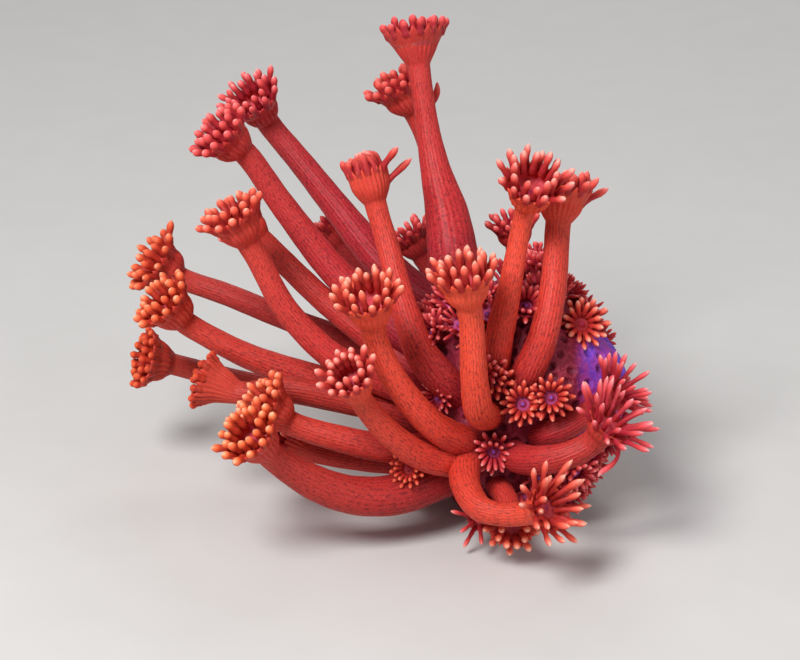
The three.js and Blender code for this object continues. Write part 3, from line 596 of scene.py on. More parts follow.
def add_body(shell, path, crown, sides, tone, seed, ribs=RIBS):
    """The polyp's body as a profile carried along its path, ring by ring.

    Column: the path's radius, with low ribs and uneven swellings. Cup: radius grows as the sine of the share of
    its depth, from the neck to the rim, and its ribs deepen. Then the lip turns over and the mouth disc runs
    inward, dished, to a raised mouth with a pit in it.
    """
    total = path["length"][-1]
    neck = total - crown["cup"]
    column = np.linspace(0.0, neck, max(int(neck / RING_STEP), 3))
    cup = np.linspace(neck, total, CUP_RINGS + 1)[1:]
    distance = np.concatenate([column, cup])
    centre, radius, normal, side, along = path_at(path, distance)
    share = np.clip((distance - neck) / crown["cup"], 0.0, 1.0)
    cone = crown["cone"]
    flare = cone * share ** 1.2 + (1.0 - cone) * np.sin(share * math.pi / 2) ** 0.95
    neck_radius = np.interp(neck, path["length"], path["radius"])
    radius = np.where(share > 0, neck_radius + (crown["rim"] + LIP_MARGIN - neck_radius) * flare, radius)
    rise = distance / total
    lip, disc_radius, height, scallop = mouth_profile(crown)
    wall_height = crown["web"] * WALL_CLIMB
    count = len(disc_radius)
    end = [np.repeat(values[-1:], count, axis=0) for values in (centre, normal, side, along)]
    centre = np.vstack([centre, end[0] + height[:, None] * end[3]])
    normal, side = np.vstack([normal, end[1]]), np.vstack([side, end[2]])
    radius = np.concatenate([radius, disc_radius])
    share = np.concatenate([share, np.ones(count)])
    rise = np.concatenate([rise, np.ones(count)])
    above_cup = len(wall_height) + 1
    on_disc = np.concatenate([np.zeros(len(distance) + above_cup), np.linspace(0.1, 1.0, count - above_cup)])
    rib_depth = np.concatenate([
        RIB_ON_COLUMN + RIB_ADDED_ON_CUP * smooth(share[: len(distance)], 0.05, 0.9),
        RIB_ON_WALL + RIB_ADDED_ON_WALL * smooth(wall_height, 0.8, 3.0),
        RIB_ON_DISC * smooth(DISC_INWARD, 0.3, 0.9),
    ])

    theta = np.arange(sides) * 2 * math.pi / sides
    crest = np.cos(ribs * theta)[None, :]
    travel = np.concatenate([distance, total + wall_height, total + crown["web"] + (1 - DISC_INWARD) * lip])
    uneven = 0.0
    for size, around, ahead, shift in SWELLINGS:
        uneven = uneven + size * np.sin(around * theta[None, :] + ahead * travel[:, None] + shift * seed)
    spread = (radius / np.maximum(radius.max(), 1e-6))[:, None]
    ring = radius[:, None] + rib_depth[:, None] * crest * np.minimum(spread * 2, 1) + uneven * spread
    offset = np.cos(theta)[None, :, None] * normal[:, None, :] + np.sin(theta)[None, :, None] * side[:, None, :]
    points = centre[:, None, :] + ring[:, :, None] * offset
    lift = scallop[:, None] * crest
    points[len(distance):] += lift[:, :, None] * end[3][:, None, :]
    rings = len(radius)
    caps = np.stack([path["centre"][0], centre[-1] - 0.1 * end[3][0]])
    points = np.vstack([points.reshape(-1, 3), caps])

    place = np.stack([
        3.0 * np.cos(theta)[None, :] + 0 * travel[:, None], 3.0 * np.sin(theta)[None, :] + 0 * travel[:, None],
        travel[:, None] + 0 * theta[None, :],
    ], axis=-1)
    zone = np.stack([rise, 0 * rise, on_disc], axis=-1)[:, None, :] + np.zeros((1, sides, 1))
    groove = np.broadcast_to(crest, (rings, sides))
    # the tone's last value on a body is its column's painted shade
    tones = np.stack([np.full((rings, sides), tone[0]), groove, np.full((rings, sides), tone[3])], axis=-1)
    ends = [[0.0, 0.0, 0.0], [0.0, 0.0, travel[-1]]]
    quads, triangles = tube_faces(rings, sides)
    shell.add(
        points, quads, triangles, np.vstack([place.reshape(-1, 3), ends]),
        np.vstack([zone.reshape(-1, 3), [[0, 0, 0], [1, 0, 1]]]),
        np.vstack([tones.reshape(-1, 3), [[tone[0], 0, tone[3]]] * 2]),
    )
    return {"centre": path["centre"][-1], "along": path["along"][-1],
            "normal": path["normal"][-1], "side": path["side"][-1], "length": total}


def add_tentacles(shell, head, crown, tone, seed, outline=FINGER_OUTLINE, sides=FINGER_SIDES, leans=()):
    """A crown of tentacles in two rings that alternate.

    Each centre line starts on the lip at its ring's angle from the axis and turns evenly by the curl on its way,
    so it is the running sum of its direction. The tube about it has the outline's thickness.
    """
    count, thickness, curl = crown["tentacles"], crown["thickness"], crown["curl"]
    index = np.arange(count)
    turn = 2 * math.pi * index / count + math.radians(PLACE_STRAY) * scatter(index, seed + 1)
    outer = index % 2 == 0
    radial = np.cos(turn)[:, None] * head["normal"] + np.sin(turn)[:, None] * head["side"]
    stray = crown["loose"] * scatter(index, seed + 2)
    start = np.where(outer, crown["outer"], crown["inner"]) - 0.4 * curl + stray
    root = FINGER_ROOT * crown["rim"]
    wall = np.where(outer, 0.7 * math.degrees(math.atan2(crown["flare"], crown["web"])), 0.0)
    spread = 1 + crown["uneven"] * scatter(index, seed + 3)
    length = (crown["reach"] + root) * spread * np.where(outer, 0.98, 1.02)
    bend = curl * (1 + 0.5 * scatter(index, seed + 5))
    lowered = np.zeros(count)
    for right, up, near, degrees, share, drop in leans:
        toward = right * RIGHT + up * UP + near * NEAR
        toward = unit(toward - (toward @ head["along"]) * head["along"])
        facing = np.zeros(count)
        facing[np.argmax(radial @ toward + outer)] = 1.0
        start = start + degrees * facing
        length = length * (1 + share * facing)
        bend = bend * (1 - facing)
        lowered = lowered + drop * facing
    sink = crown["web"] - np.where(outer, 1.25, 1.0) * root - lowered
    climb = np.clip(sink / crown["web"], 0.0, 1.0)
    wall_radius = crown["rim"] + LIP_MARGIN + crown["flare"] * (1 - (1 - climb) ** WALL_POWER)
    base_radius = wall_radius - thickness * np.where(outer, 0.5, 1.9) - 0.25 * lowered
    base = head["centre"] + base_radius[:, None] * radial + sink[:, None] * head["along"]
    sideways = np.cross(head["along"], radial)
    drift = HEADING_STRAY * scatter(index, seed + 4)

    fine = np.linspace(0.0, 1.0, FINGER_STEPS + 1)
    angle = wall[:, None] + (start - wall)[:, None] * smooth(fine, 0.05, 0.42)[None, :]
    angle = np.radians(angle + bend[:, None] * fine[None, :])
    veer = np.radians(drift[:, None] * fine[None, :])
    heading = np.cos(angle)[..., None] * head["along"] + np.sin(angle)[..., None] * radial[:, None, :]
    heading = unit(heading + np.sin(veer)[..., None] * sideways[:, None, :])
    middle = 0.5 * (heading[:, 1:] + heading[:, :-1]) * (length / FINGER_STEPS)[:, None, None]
    line = base[:, None, :] + np.concatenate([np.zeros((count, 1, 3)), np.cumsum(middle, axis=1)], axis=1)
    pick = np.rint(outline[:, 0] * FINGER_STEPS).astype(int)
    at, direction = line[:, pick], heading[:, pick]
    across = unit(np.cross(np.cross(direction, sideways[:, None, :]), direction))
    beside = np.cross(direction, across)
    phi = np.arange(sides) * 2 * math.pi / sides
    size = thickness * outline[:, 1]
    plump = 1 + 0.08 * scatter(index, seed + 6)
    ring = np.cos(phi)[:, None] * across[:, :, None, :] + np.sin(phi)[:, None] * beside[:, :, None, :]
    points = at[:, :, None, :] + (size[None, :] * plump[:, None])[:, :, None, None] * ring
    rings = len(outline)
    ends = np.stack([line[:, 0] - 0.2 * heading[:, 0], line[:, -1]], axis=1)
    points = np.concatenate([points.reshape(count, -1, 3), ends], axis=1)

    shares = np.concatenate([np.repeat(outline[:, 0], sides), [0.0, 1.0]])
    spin = np.concatenate([np.tile(phi, rings), [0.0, 0.0]])
    paled = shares + PALE_INSIDE * np.sin(spin) * smooth(shares, 0.3, 0.7) * (shares < 1.0) + 1e-3
    zone = np.stack([np.ones((count, len(shares))), np.broadcast_to(paled, (count, len(shares))),
                     np.zeros((count, len(shares)))], axis=-1)
    width = np.concatenate([np.ones(rings * sides), [0.0, 0.0]])
    place = np.stack([
        index[:, None] * 5.0 + width * np.cos(spin), width * np.sin(spin) + 0 * index[:, None],
        head["length"] + shares[None, :] * length[:, None],
    ], axis=-1)
    # how far the pale tip colour reaches: a random spread about the polyp's value, which is lowered as painted shade
    # on polyps that lie back from the light
    bright = tone[1] + 0.25 * scatter(index, seed + 7)
    tones = np.stack([np.full(place.shape[:2], tone[0]), np.full(place.shape[:2], tone[2]),
                      np.broadcast_to(bright[:, None], place.shape[:2])], axis=-1)
    quads, triangles = tube_faces(rings, sides, count)
    shell.add(points, quads, triangles, place.reshape(-1, 3), zone.reshape(-1, 3), tones.reshape(-1, 3))


def add_strand(shell, stations, tone, travel):
    """One long tentacle that hangs apart from its crown: a tube along its own traced path."""
    path = traced(stations)
    rings, sides = STRAND_RINGS, FINGER_SIDES
    shares = np.linspace(0.0, 1.0, rings)
    centre, radius, normal, side, along = path_at(path, shares * path["length"][-1])
    phi = np.arange(sides) * 2 * math.pi / sides
    ring = np.cos(phi)[:, None] * normal[:, None, :] + np.sin(phi)[:, None] * side[:, None, :]
    points = centre[:, None, :] + radius[:, None, None] * ring
    ends = np.stack([centre[0] - radius[0] * along[0], centre[-1] + radius[-1] * along[-1]])
    shares = np.concatenate([np.repeat(shares, sides), [0.0, 1.0]])
    spin = np.concatenate([np.tile(phi, rings), [0.0, 0.0]])
    place = np.column_stack([np.cos(spin), np.sin(spin), travel + shares * path["length"][-1]])
    zone = np.column_stack([np.ones(len(shares)), shares + 0.01, np.zeros(len(shares))])
    quads, triangles = tube_faces(rings, sides)
    shell.add(np.vstack([points.reshape(-1, 3), ends]), quads, triangles, place, zone,
              np.array([tone[0], tone[2], tone[1]]))


def replaced(name):
    """The solids that a dressed piece stands for."""
    return () if name in ALONE else (name,)


def long_polyp(name, row, material, tone, seed):
    """One long or middle polyp: its body along its traced path, and its crown of tentacles."""
    kind, changes, stations = row
    crown = crown_of(kind, changes)
    shell = Shell()
    head = add_body(shell, traced(stations), crown, COLUMN_SIDES, tone, seed)
    add_tentacles(shell, head, crown, tone, seed, leans=LEANS.get(name, ()))
    if name in STRANDS:
        add_strand(shell, STRANDS[name], tone, head["length"])
    return shell.build(name + "_flesh", material, "polyp_flesh", replaced(name))


def short_path(azimuth, level, crown, height, root=SHORT_ROOT, tilt=0.0):
    """A straight path from inside the head to the mouth disc's height above it, square to the skin or tilted up."""
    foot, square = head_point(level, azimuth), unit(head_normal(level, azimuth) + [0.0, 0.0, tilt])
    column = crown["rim"] * SHORT_COLUMN_SHARE
    ends = np.stack([foot - root * square, foot + 0.4 * (height - root) * square, foot + height * square])
    return trace_path(np.column_stack([ends, np.full(3, column)]))


def short_polyp(name, row, material, tone, seed):
    """One short polyp: a body that stands on the head's skin, and a flat star of small tentacles."""
    kind, azimuth, level, height, tilt = row
    crown = crown_of(kind, {"loose": SHORT_LOOSE})
    shell = Shell()
    path = short_path(math.radians(azimuth), float(level), crown, height, tilt=tilt)
    head = add_body(shell, path, crown, SHORT_COLUMN_SIDES, tone, seed)
    add_tentacles(shell, head, crown, tone, seed, SHORT_FINGER_OUTLINE, SHORT_FINGER_SIDES)
    return shell.build(name + "_flesh", material, "short_polyp_flesh", replaced(name))


def cover_polyp(shell, azimuth, level, index):
    """One small half-closed polyp of the cover, its size, opening, height and warmth scattered by its index."""
    size = 1.0 + 0.3 * float(scatter(index, 11))
    crown = crown_of("bud", {
        "rim": 1.9 * size, "reach": 2.7 * size, "outer": 52 + 22 * float(scatter(index, 12)), "inner": 30,
        "tentacles": COVER_FINGERS, "loose": COVER_LOOSE,
    })
    path = short_path(azimuth, level, crown, 2.4 + 0.7 * float(scatter(index, 13)), COVER_ROOT)
    tone = (0.2 + 0.2 * float(scatter(index, 14)), -0.8, 0.1, 0.0)
    head = add_body(shell, path, crown, COVER_SIDES, tone, float(index), COVER_RIBS)
    add_tentacles(shell, head, crown, tone, index, SHORT_FINGER_OUTLINE, COVER_FINGER_SIDES)


def bare_distance(points):
    """How far points lie from the nearest bare patch, as a share of its half widths."""
    return np.min([np.linalg.norm((points - centre) / half, axis=1) for centre, half in BARE_PATCHES], axis=0)


def cover_sites():
    """Places of the cover: a sunflower spread over the head, less the bare patches and the other polyps' room."""
    index = np.arange(COVER_COUNT) + 0.5
    azimuth = index * math.pi * (3.0 - math.sqrt(5.0))
    azimuth = (azimuth + math.pi) % (2 * math.pi) - math.pi
    lowest, highest = COVER_LEVELS
    level = lowest + (highest - lowest) * index / COVER_COUNT
    level = level + 0.8 * scatter(index, 3)
    foot = head_point(level, azimuth)
    tip = foot + 2.6 * head_normal(level, azimuth)
    keep = bare_distance(foot) > 1.0
    for kind, _, stations in (*LONG_POLYPS.values(), *MIDDLE_POLYPS.values()):
        path = traced(stations)
        for point, room in ((foot, 1.6), (tip, 2.0)):
            apart = np.linalg.norm(point[:, None] - path["centre"][None, ::3], axis=2) - path["radius"][None, ::3]
            keep &= apart.min(axis=1) > room
        crown = CROWNS[kind]
        spread = crown["reach"] * (1.0 if kind == "aster" else 0.5)
        keep &= np.linalg.norm(tip - path["centre"][-1], axis=1) > crown["rim"] + spread + 2.4
    for _, turn, rise, _, _ in SHORT_POLYPS.values():
        other = head_point(float(rise), math.radians(turn))
        keep &= np.linalg.norm(foot - other, axis=1) > COVER_ROOM
    return azimuth[keep], level[keep], index[keep]


def head_surface():
    """The head as a grid of azimuth and level: its smooth form, less a pit at each corallite, closed flat below.

    A pit's depth falls off as a smooth step of the distance to the nearest corallite centre, and a low rim
    stands round it. Centres are a sunflower spread over the head.
    """
    azimuth = np.arange(HEAD_COLUMNS) * 2 * math.pi / HEAD_COLUMNS
    level = HEAD_TOP * np.sin(np.linspace(0.0, math.pi / 2, HEAD_ROWS)) ** 0.9
    level[-1] = HEAD_TOP - 0.02
    level, azimuth = np.meshgrid(level, azimuth, indexing="ij")
    points = head_point(level, azimuth)
    normals = head_normal(np.clip(level, 0.9, HEAD_TOP - 1.2), azimuth)
    index = np.arange(CORALLITE_COUNT) + 0.5
    turn = index * math.pi * (3.0 - math.sqrt(5.0)) + 0.1 * scatter(index, 8)
    centres = head_point(HEAD_TOP * (index / CORALLITE_COUNT) ** 0.95, turn)
    nearest = np.full(level.shape, 1e9)
    for block in np.array_split(centres, 12):
        apart = np.linalg.norm(points[:, :, None, :] - block[None, None], axis=-1)
        nearest = np.minimum(nearest, apart.min(axis=-1))
    pit = 1.0 - smooth(nearest, *PIT_EDGE)
    rim = np.exp(-((nearest - RIM_RADIUS) / RIM_WIDTH) ** 2)
    x, y, z = np.moveaxis(points, -1, 0)
    lumps = LUMP_HEIGHT * np.sin(0.55 * x + 1.0) * np.sin(0.5 * y) * np.sin(0.6 * z)
    fade = smooth(level, 0.0, 1.5)
    points = points + normals * ((lumps + RIM_HEIGHT * rim - PIT_DEPTH * pit) * fade)[..., None]
    shell = Shell()
    ends = np.stack([[0.0, 0.0, 0.0], points[-1].mean(axis=0) + [0, 0, 0.02]])
    quads, triangles = tube_faces(HEAD_ROWS, HEAD_COLUMNS)
    flat = points.reshape(-1, 3)
    zone = np.column_stack([flat[:, 2] / HEAD_TOP, 0 * flat[:, 2], pit.ravel()])
    zone = np.vstack([zone, [[0, 0, 0], [1, 0, 0]]])
    tones = np.column_stack([1.0 - smooth(bare_distance(flat), 0.85, 1.3), rim.ravel(), pit.ravel()])
    tones = np.vstack([tones, [[0, 0, 0], [0, 0, 0]]])
    whole = np.vstack([flat, ends])
    shell.add(whole, quads, triangles, whole, zone, tones)
    return shell


def linear(colour):
    """A colour written as sRGB hex, turned into the linear values that shaders take."""
    values = np.array([int(colour[k:k + 2], 16) / 255 for k in (1, 3, 5)])
    straight = np.where(values <= 0.04045, values / 12.92, ((values + 0.055) / 1.055) ** 2.4)
    return (*straight.tolist(), 1.0)


def add_node(material, kind, inputs=None, **settings):
    """Adds a node; an input given another node's output is linked, any other is set."""
    tree = material.node_tree
    node = tree.nodes.new(kind)
    for key, value in settings.items():
        setattr(node, key, value)
    for key, value in (inputs or {}).items():
        if isinstance(value, bpy.types.NodeSocket):
            tree.links.new(value, node.inputs[key])
        else:
            node.inputs[key].default_value = value
    return node


def add_ramp(material, share, stops):
    """Adds a colour ramp with stops of position and linear colour."""
    ramp = add_node(material, "ShaderNodeValToRGB", {"Fac": share})
    bar = ramp.color_ramp
    while len(bar.elements) < len(stops):
        bar.elements.new(0.5)
    for element, (position, colour) in zip(bar.elements, stops):
        element.position = position
        element.color = colour
    return ramp.outputs["Color"]


def add_mix(material, share, first, second):
    """Adds a mix of two colours by a share."""
    return add_node(material, "ShaderNodeMix", {0: share, 6: first, 7: second}, data_type="RGBA").outputs[2]


def add_math(material, operation, first, second, third=None, clamp=False):
    """Adds a math node of two values, or of three."""
    inputs = {0: first, 1: second} if third is None else {0: first, 1: second, 2: third}
    return add_node(material, "ShaderNodeMath", inputs, operation=operation, use_clamp=clamp).outputs[0]


def add_noise(material, place, scale, detail=2.0, roughness=0.5):
    """Adds noise whose scale is in waves for each unit of place."""
    inputs = {"Vector": place, "Scale": scale, "Detail": detail, "Roughness": roughness}
    return add_node(material, "ShaderNodeTexNoise", inputs).outputs["Fac"]


def read_attribute(material, name):
    """Adds a node that reads one of the mesh's own values."""
    return add_node(material, "ShaderNodeAttribute", attribute_name=name).outputs["Vector"]


def split(material, vector):
    """Adds a node that parts a vector into its three values."""
    return add_node(material, "ShaderNodeSeparateXYZ", {0: vector}).outputs


def add_surface(material, inputs):
    """Adds the surface shader and the output."""
    shader = add_node(material, "ShaderNodeBsdfPrincipled", inputs)
    add_node(material, "ShaderNodeOutputMaterial", {"Surface": shader.outputs[0]})


def add_range(material, value, low, high):
    """Adds a map from low..high to a smooth 0..1."""
    node = add_node(
        material, "ShaderNodeMapRange", {"Value": value, "From Min": low, "From Max": high},
        interpolation_type="SMOOTHSTEP",
    )
    return node.outputs["Result"]


def new_material(name):
    """A node material with an empty tree."""
    material = bpy.data.materials.new(name)
    material.use_nodes = True
    material.node_tree.nodes.clear()
    return material


def tissue_material(name, colours):
    """Living coral tissue: flesh full of water, so light passes into it and its wet skin shines.

    Red columns run from dark crimson roots to orange-red, with dark lengthwise dashes along their ribs. The
    tentacles pale to peach at their tips, and the mouth disc is magenta with a dark mouth. Painted shade darkens the
    furrows between the ribs and the columns of polyps that lie back from the light; painted light makes the polyps
    that face it more orange and puts a highlight on the tentacles' ends.
    """
    material = new_material(name)
    place = read_attribute(material, "skin_place")
    rise, tip, disc = split(material, read_attribute(material, "skin_zone"))
    # of the tone's three values, the last two are the furrow and the painted shade on a column, and how golden and
    # how far down the light colour is on a tentacle, the last partly painted shade on polyps that lie back from the
    # light
    warmth, groove, last = split(material, read_attribute(material, "skin_tone"))

    # 4 mm clouds, 0.4 mm by 3 mm dashes and 0.25 mm grains, all in millimetres on the skin
    cloud = add_noise(material, place, 0.22, 3.0)
    long_place = add_node(material, "ShaderNodeMapping", {"Vector": place, "Scale": (3.4, 3.4, 0.9)}).outputs[0]
    dash = add_noise(material, long_place, 1.0, roughness=0.6)
    grain = add_noise(material, place, 3.0)

    level = add_math(material, "MULTIPLY_ADD", cloud, 0.35, add_math(material, "ADD", rise, -0.17))
    cool = add_ramp(material, level, [(0.0, colours["root"]), (0.45, colours["column"]), (1.0, colours["collar"])])
    warm = add_ramp(material, level, [(0.0, colours["root"]), (0.35, colours["warm"]), (1.0, colours["warm_collar"])])
    # warmth is partly the polyp's own hue and partly painted light: polyps that face the light are more orange
    skin = add_mix(material, warmth, cool, warm)
    plain = add_math(material, "MULTIPLY_ADD", add_range(material, rise, 0.86, 0.99), -0.75, 1.0)
    dark = add_math(material, "MULTIPLY", add_range(material, dash, 0.50, 0.64), 0.52)
    dark = add_math(material, "MULTIPLY", dark, plain)
    skin = add_mix(material, dark, skin, colours["dash"])
    # painted shade in the furrows between the ribs, broken up by grain and dashes, less near the crown
    furrow = add_range(material, add_math(material, "MULTIPLY", groove, -1.0), 0.1, 0.9)
    broken = add_range(material, add_math(material, "ADD", grain, dash), 0.86, 1.08)
    shade = add_math(material, "MULTIPLY", add_math(material, "MULTIPLY", furrow, broken), 0.40)
    shade = add_math(material, "MULTIPLY", shade, plain)
    skin = add_mix(material, shade, skin, colours["dash"])
    light = add_math(material, "MULTIPLY", add_range(material, grain, 0.54, 0.70), 0.34)
    skin = add_mix(material, light, skin, colours["fleck"])

    disc_colour = add_ramp(material, disc, [
        (0.0, colours["collar"]), (0.25, colours["disc"]), (0.62, colours["disc_light"]), (0.85, colours["disc"]),
        (0.97, colours["mouth"]),
    ])
    skin = add_mix(material, add_range(material, disc, 0.02, 0.25), skin, disc_colour)
    # painted shade: a polyp's column darkens towards the dash colour by its tone's last value, less up at the collar
    below = add_math(material, "MULTIPLY_ADD", add_range(material, rise, 0.80, 0.97), -0.35, 1.0)
    shadow = add_math(material, "MULTIPLY", last, below, clamp=True)
    skin = add_mix(material, shadow, skin, colours["dash"])
    # on a tentacle the tone's last value moves the pale tip colour down or up, partly as painted shade
    along = add_math(material, "MULTIPLY_ADD", last, 0.12, tip)
    rosy, golden = (
        add_ramp(material, along, [(position, linear(colour)) for position, colour in stops])
        for stops in (ROSY_TENTACLE, GOLDEN_TENTACLE)
    )
    finger = add_mix(material, groove, rosy, golden)
    skin = add_mix(material, add_range(material, tip, 0.0, 0.25), skin, finger)

    height = add_math(material, "MULTIPLY_ADD", dash, 0.6, add_math(material, "MULTIPLY", grain, 0.5))
    bump = add_node(material, "ShaderNodeBump", {"Height": height, "Strength": 0.35, "Distance": 0.00025})
    add_surface(material, {
        "Base Color": skin, "Normal": bump.outputs["Normal"],
        "Roughness": add_math(material, "MULTIPLY_ADD", grain, 0.16, 0.46),
        "Subsurface Weight": 0.35, "Subsurface Radius": (2.2, 0.7, 0.4), "Subsurface Scale": MM,
        "Coat Weight": 0.05, "Coat Roughness": 0.3, "IOR": 1.38, "Specular IOR Level": 0.3,
    })
    return material


def head_material():
    """Living skin over pitted coral stone: crimson to violet, bluer on its bare flank, and painted shade dark down in
    the pits.
    """
    material = new_material("violet_skin_on_coral_stone")
    place = read_attribute(material, "skin_place")
    bare, rim, pit = split(material, read_attribute(material, "skin_tone"))
    # 4 mm clouds and 0.6 mm grains
    cloud = add_noise(material, place, 0.25, 3.0)
    grain = add_noise(material, place, 1.6, 3.0)
    colours = {key: [linear(colour) for colour in pair] for key, pair in HEAD_COLOURS.items()}
    general = add_mix(material, add_range(material, cloud, 0.35, 0.65), *colours["general"])
    violet = add_mix(material, add_range(material, cloud, 0.4, 0.62), *colours["violet"])
    rims, pit_shade, flecks = (add_mix(material, bare, *colours[key]) for key in ("rims", "pit_shade", "flecks"))
    skin = add_mix(material, bare, general, violet)
    skin = add_mix(material, add_math(material, "MULTIPLY", rim, 0.22), skin, rims)
    # painted shade darkens the skin down in the pits
    skin = add_mix(material, add_math(material, "MULTIPLY", pit, 0.6), skin, pit_shade)
    skin = add_mix(material, add_math(material, "MULTIPLY", add_range(material, grain, 0.5, 0.7), 0.3), skin, flecks)
    bump = add_node(material, "ShaderNodeBump", {"Height": grain, "Strength": 0.5, "Distance": 0.0004})
    add_surface(material, {
        "Base Color": skin, "Normal": bump.outputs["Normal"],
        "Roughness": add_math(material, "MULTIPLY_ADD", grain, 0.25, 0.45),
        "Subsurface Weight": 0.15, "Subsurface Radius": (1.0, 0.5, 0.6), "Subsurface Scale": MM,
        "Coat Weight": 0.05, "Coat Roughness": 0.3, "IOR": 1.38, "Specular IOR Level": 0.3,
    })
    return material


def tissue(kind):
    """The tissue of the long polyps or of the short ones, made once."""
    name = {"long": "red_polyp_tissue", "short": "crimson_polyp_tissue"}[kind]
    if name in bpy.data.materials:
        return bpy.data.materials[name]
    colours = {key: linear(value) for key, value in TISSUE_COLOURS[kind].items()}
    settings = bpy.context.scene.coral_colony
    if kind == "long":
        colours["column"] = (*settings.column_colour, 1.0)
        colours["warm"] = (*settings.warm_colour, 1.0)
    return tissue_material(name, colours)


class CoralColony(bpy.types.PropertyGroup):
    """Colours and numbers that a user would change."""

    column_colour: bpy.props.FloatVectorProperty(
        name="Column colour", description="Colour of the long polyps' columns half way up",
        subtype="COLOR", size=3, min=0, max=1, default=linear(TISSUE_COLOURS["long"]["column"])[:3],
    )
    warm_colour: bpy.props.FloatVectorProperty(
        name="Warm column colour", description="Colour of the columns that catch the most light",
        subtype="COLOR", size=3, min=0, max=1, default=linear(TISSUE_COLOURS["long"]["warm"])[:3],
    )


class CoralStage(bpy.types.PropertyGroup):
    """Floor, light and camera."""

    floor_half: bpy.props.FloatProperty(
        name="Floor half width", description="Half the width of the floor", unit="LENGTH", default=3.0)
    key_power: bpy.props.FloatProperty(
        name="Key light", description="Power of the main soft light", unit="POWER", default=10.0)
    fill_power: bpy.props.FloatProperty(
        name="Fill light", description="Power of the wide fill light", unit="POWER", default=2.2)


class CORAL_OT_head(bpy.types.Operator):
    """Makes the pitted head that the polyps grow from"""

    bl_idname = "coral.head"
    bl_label = "Head"

    def execute(self, context):
        head_surface().build("coral_head_skin", head_material(), "coral_head_skin", ("coral_head",))
        return {"FINISHED"}


class CORAL_OT_long_polyps(bpy.types.Operator):
    """Makes the long polyps, each a ribbed column that opens into a crown of tentacles"""

    bl_idname = "coral.long_polyps"
    bl_label = "Long polyps"

    def execute(self, context):
        for seed, (name, row) in enumerate(LONG_POLYPS.items()):
            long_polyp(name, row, tissue("long"), TONES.get(name, LONG_TONE), seed + 1.0)
        return {"FINISHED"}


class CORAL_OT_middle_polyps(bpy.types.Operator):
    """Makes the polyps of middle length between and behind the long ones"""

    bl_idname = "coral.middle_polyps"
    bl_label = "Middle polyps"

    def execute(self, context):
        for seed, (name, row) in enumerate(MIDDLE_POLYPS.items()):
            long_polyp(name, row, tissue("long"), TONES.get(name, MIDDLE_TONE), seed + 41.0)
        return {"FINISHED"}


class CORAL_OT_short_polyps(bpy.types.Operator):
    """Makes the short polyps that sit on the head like small stars"""

    bl_idname = "coral.short_polyps"
    bl_label = "Short polyps"

    def execute(self, context):
        for seed, (name, row) in enumerate(SHORT_POLYPS.items()):
            short_polyp(name, row, tissue("short"), TONES.get(name, SHORT_TONE), seed + 71.0)
        return {"FINISHED"}


class CORAL_OT_cover_polyps(bpy.types.Operator):
    """Makes the small half-closed polyps that cover the rest of the head, in a few merged pieces"""

    bl_idname = "coral.cover_polyps"
    bl_label = "Cover polyps"

    def execute(self, context):
        azimuth, level, index = cover_sites()
        order = np.argsort(azimuth)
        for number, part in enumerate(np.array_split(order, COVER_PIECES)):
            shell = Shell()
            for k in part:
                cover_polyp(shell, azimuth[k], level[k], index[k])
            shell.build(f"cover_polyps_{number + 1}_flesh", tissue("short"), "short_polyp_flesh")
        return {"FINISHED"}


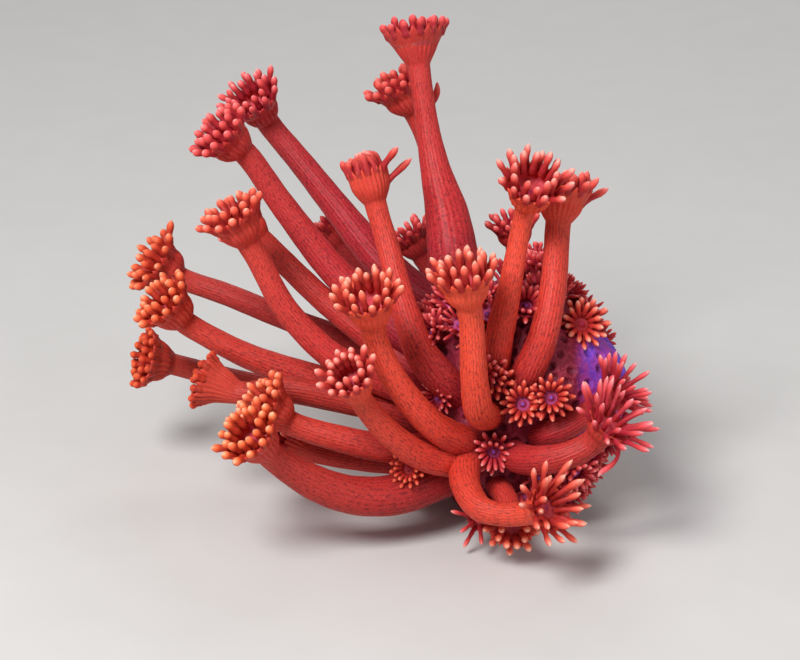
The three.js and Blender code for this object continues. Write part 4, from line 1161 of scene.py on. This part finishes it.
class CORAL_OT_stage(bpy.types.Operator):
    """Makes the floor, the soft studio light and the camera"""

    bl_idname = "coral.stage"
    bl_label = "Stage"

    def execute(self, context):
        settings = context.scene.coral_stage
        half = settings.floor_half
        mesh = bpy.data.meshes.new("floor")
        mesh.from_pydata([(-half, -half, 0), (half, -half, 0), (half, half, 0), (-half, half, 0)], [], [(0, 1, 2, 3)])
        floor = bpy.data.objects.new("floor", mesh)
        context.scene.collection.objects.link(floor)
        material = new_material("matt_pale_floor")
        place = add_node(material, "ShaderNodeTexCoord").outputs["Object"]
        colour = add_mix(material, add_noise(material, place, 60.0), linear("#cbc9c6"), linear("#d0cecc"))
        add_surface(material, {"Base Color": colour, "Roughness": 0.85})
        mesh.materials.append(material)

        context.scene.view_settings.view_transform = "Standard"
        world = bpy.data.worlds.new("soft_room")
        world.use_nodes = True
        backdrop = world.node_tree.nodes["Background"].inputs
        backdrop["Color"].default_value = linear("#f2f3f6")
        backdrop["Strength"].default_value = 0.25
        context.scene.world = world
        aim = np.array([-0.025, 0.0, 0.055])
        for name, place, size, power in (
            ("key", (-0.35, -0.55, 0.75), 0.4, settings.key_power),
            ("fill", (0.75, -0.45, 0.45), 0.8, settings.fill_power),
            ("back", (0.1, 0.8, 0.7), 0.6, settings.fill_power),
        ):
            light = bpy.data.lights.new(name, "AREA")
            light.shape, light.size, light.energy = "DISK", size, power
            lamp = bpy.data.objects.new(name, light)
            context.scene.collection.objects.link(lamp)
            aim_object(lamp, np.array(place), aim)

        lens = bpy.data.cameras.new("camera")
        lens.sensor_width = SENSOR_WIDTH
        lens.lens = SENSOR_WIDTH * VIEW_DISTANCE / PICTURE_WIDTH
        lens.clip_start = 0.01
        camera = bpy.data.objects.new("camera", lens)
        context.scene.collection.objects.link(camera)
        centre = (PICTURE_CENTRE[0] * RIGHT + PICTURE_CENTRE[1] * UP) * MM
        aim_object(camera, centre + VIEW_DISTANCE * MM * NEAR, centre)
        context.scene.camera = camera
        return {"FINISHED"}


def aim_object(thing, place, aim):
    """Places a light or the camera at a point and turns it so that its back axis points away from the aim."""
    back = unit(place - aim)
    right = unit(np.cross([0.0, 0.0, 1.0], back))
    turned = np.column_stack([right, np.cross(back, right), back])
    matrix = np.eye(4)
    matrix[:3, :3], matrix[:3, 3] = turned, place
    thing.matrix_world = mathutils.Matrix(matrix.tolist())


class CORAL_PT_panel(bpy.types.Panel):
    """Lists the steps that make the colony"""

    bl_label = "Flowerpot coral"
    bl_idname = "CORAL_PT_panel"
    bl_space_type = "VIEW_3D"
    bl_region_type = "UI"
    bl_category = "Coral"

    def draw(self, context):
        for settings in (context.scene.coral_colony, context.scene.coral_stage):
            for key in settings.__annotations__:
                self.layout.prop(settings, key)
        for step in STEPS:
            self.layout.operator(step.bl_idname)


STEPS = (
    CORAL_OT_head, CORAL_OT_long_polyps, CORAL_OT_middle_polyps, CORAL_OT_short_polyps, CORAL_OT_cover_polyps,
    CORAL_OT_stage,
)
GROUPS = (CoralColony, CoralStage)


def register():
    """Registers the classes and hangs the property groups on the scene."""
    for kind in GROUPS + STEPS + (CORAL_PT_panel,):
        bpy.utils.register_class(kind)
    bpy.types.Scene.coral_colony = bpy.props.PointerProperty(type=CoralColony)
    bpy.types.Scene.coral_stage = bpy.props.PointerProperty(type=CoralStage)


def unregister():
    """Undoes what register does."""
    del bpy.types.Scene.coral_stage
    del bpy.types.Scene.coral_colony
    for kind in reversed(GROUPS + STEPS + (CORAL_PT_panel,)):
        bpy.utils.unregister_class(kind)


def main():
    """Makes everything in order."""
    register()
    for name in ("head", "long_polyps", "middle_polyps", "short_polyps", "cover_polyps", "stage"):
        getattr(bpy.ops.coral, name)()


if __name__ == "__main__":
    main()
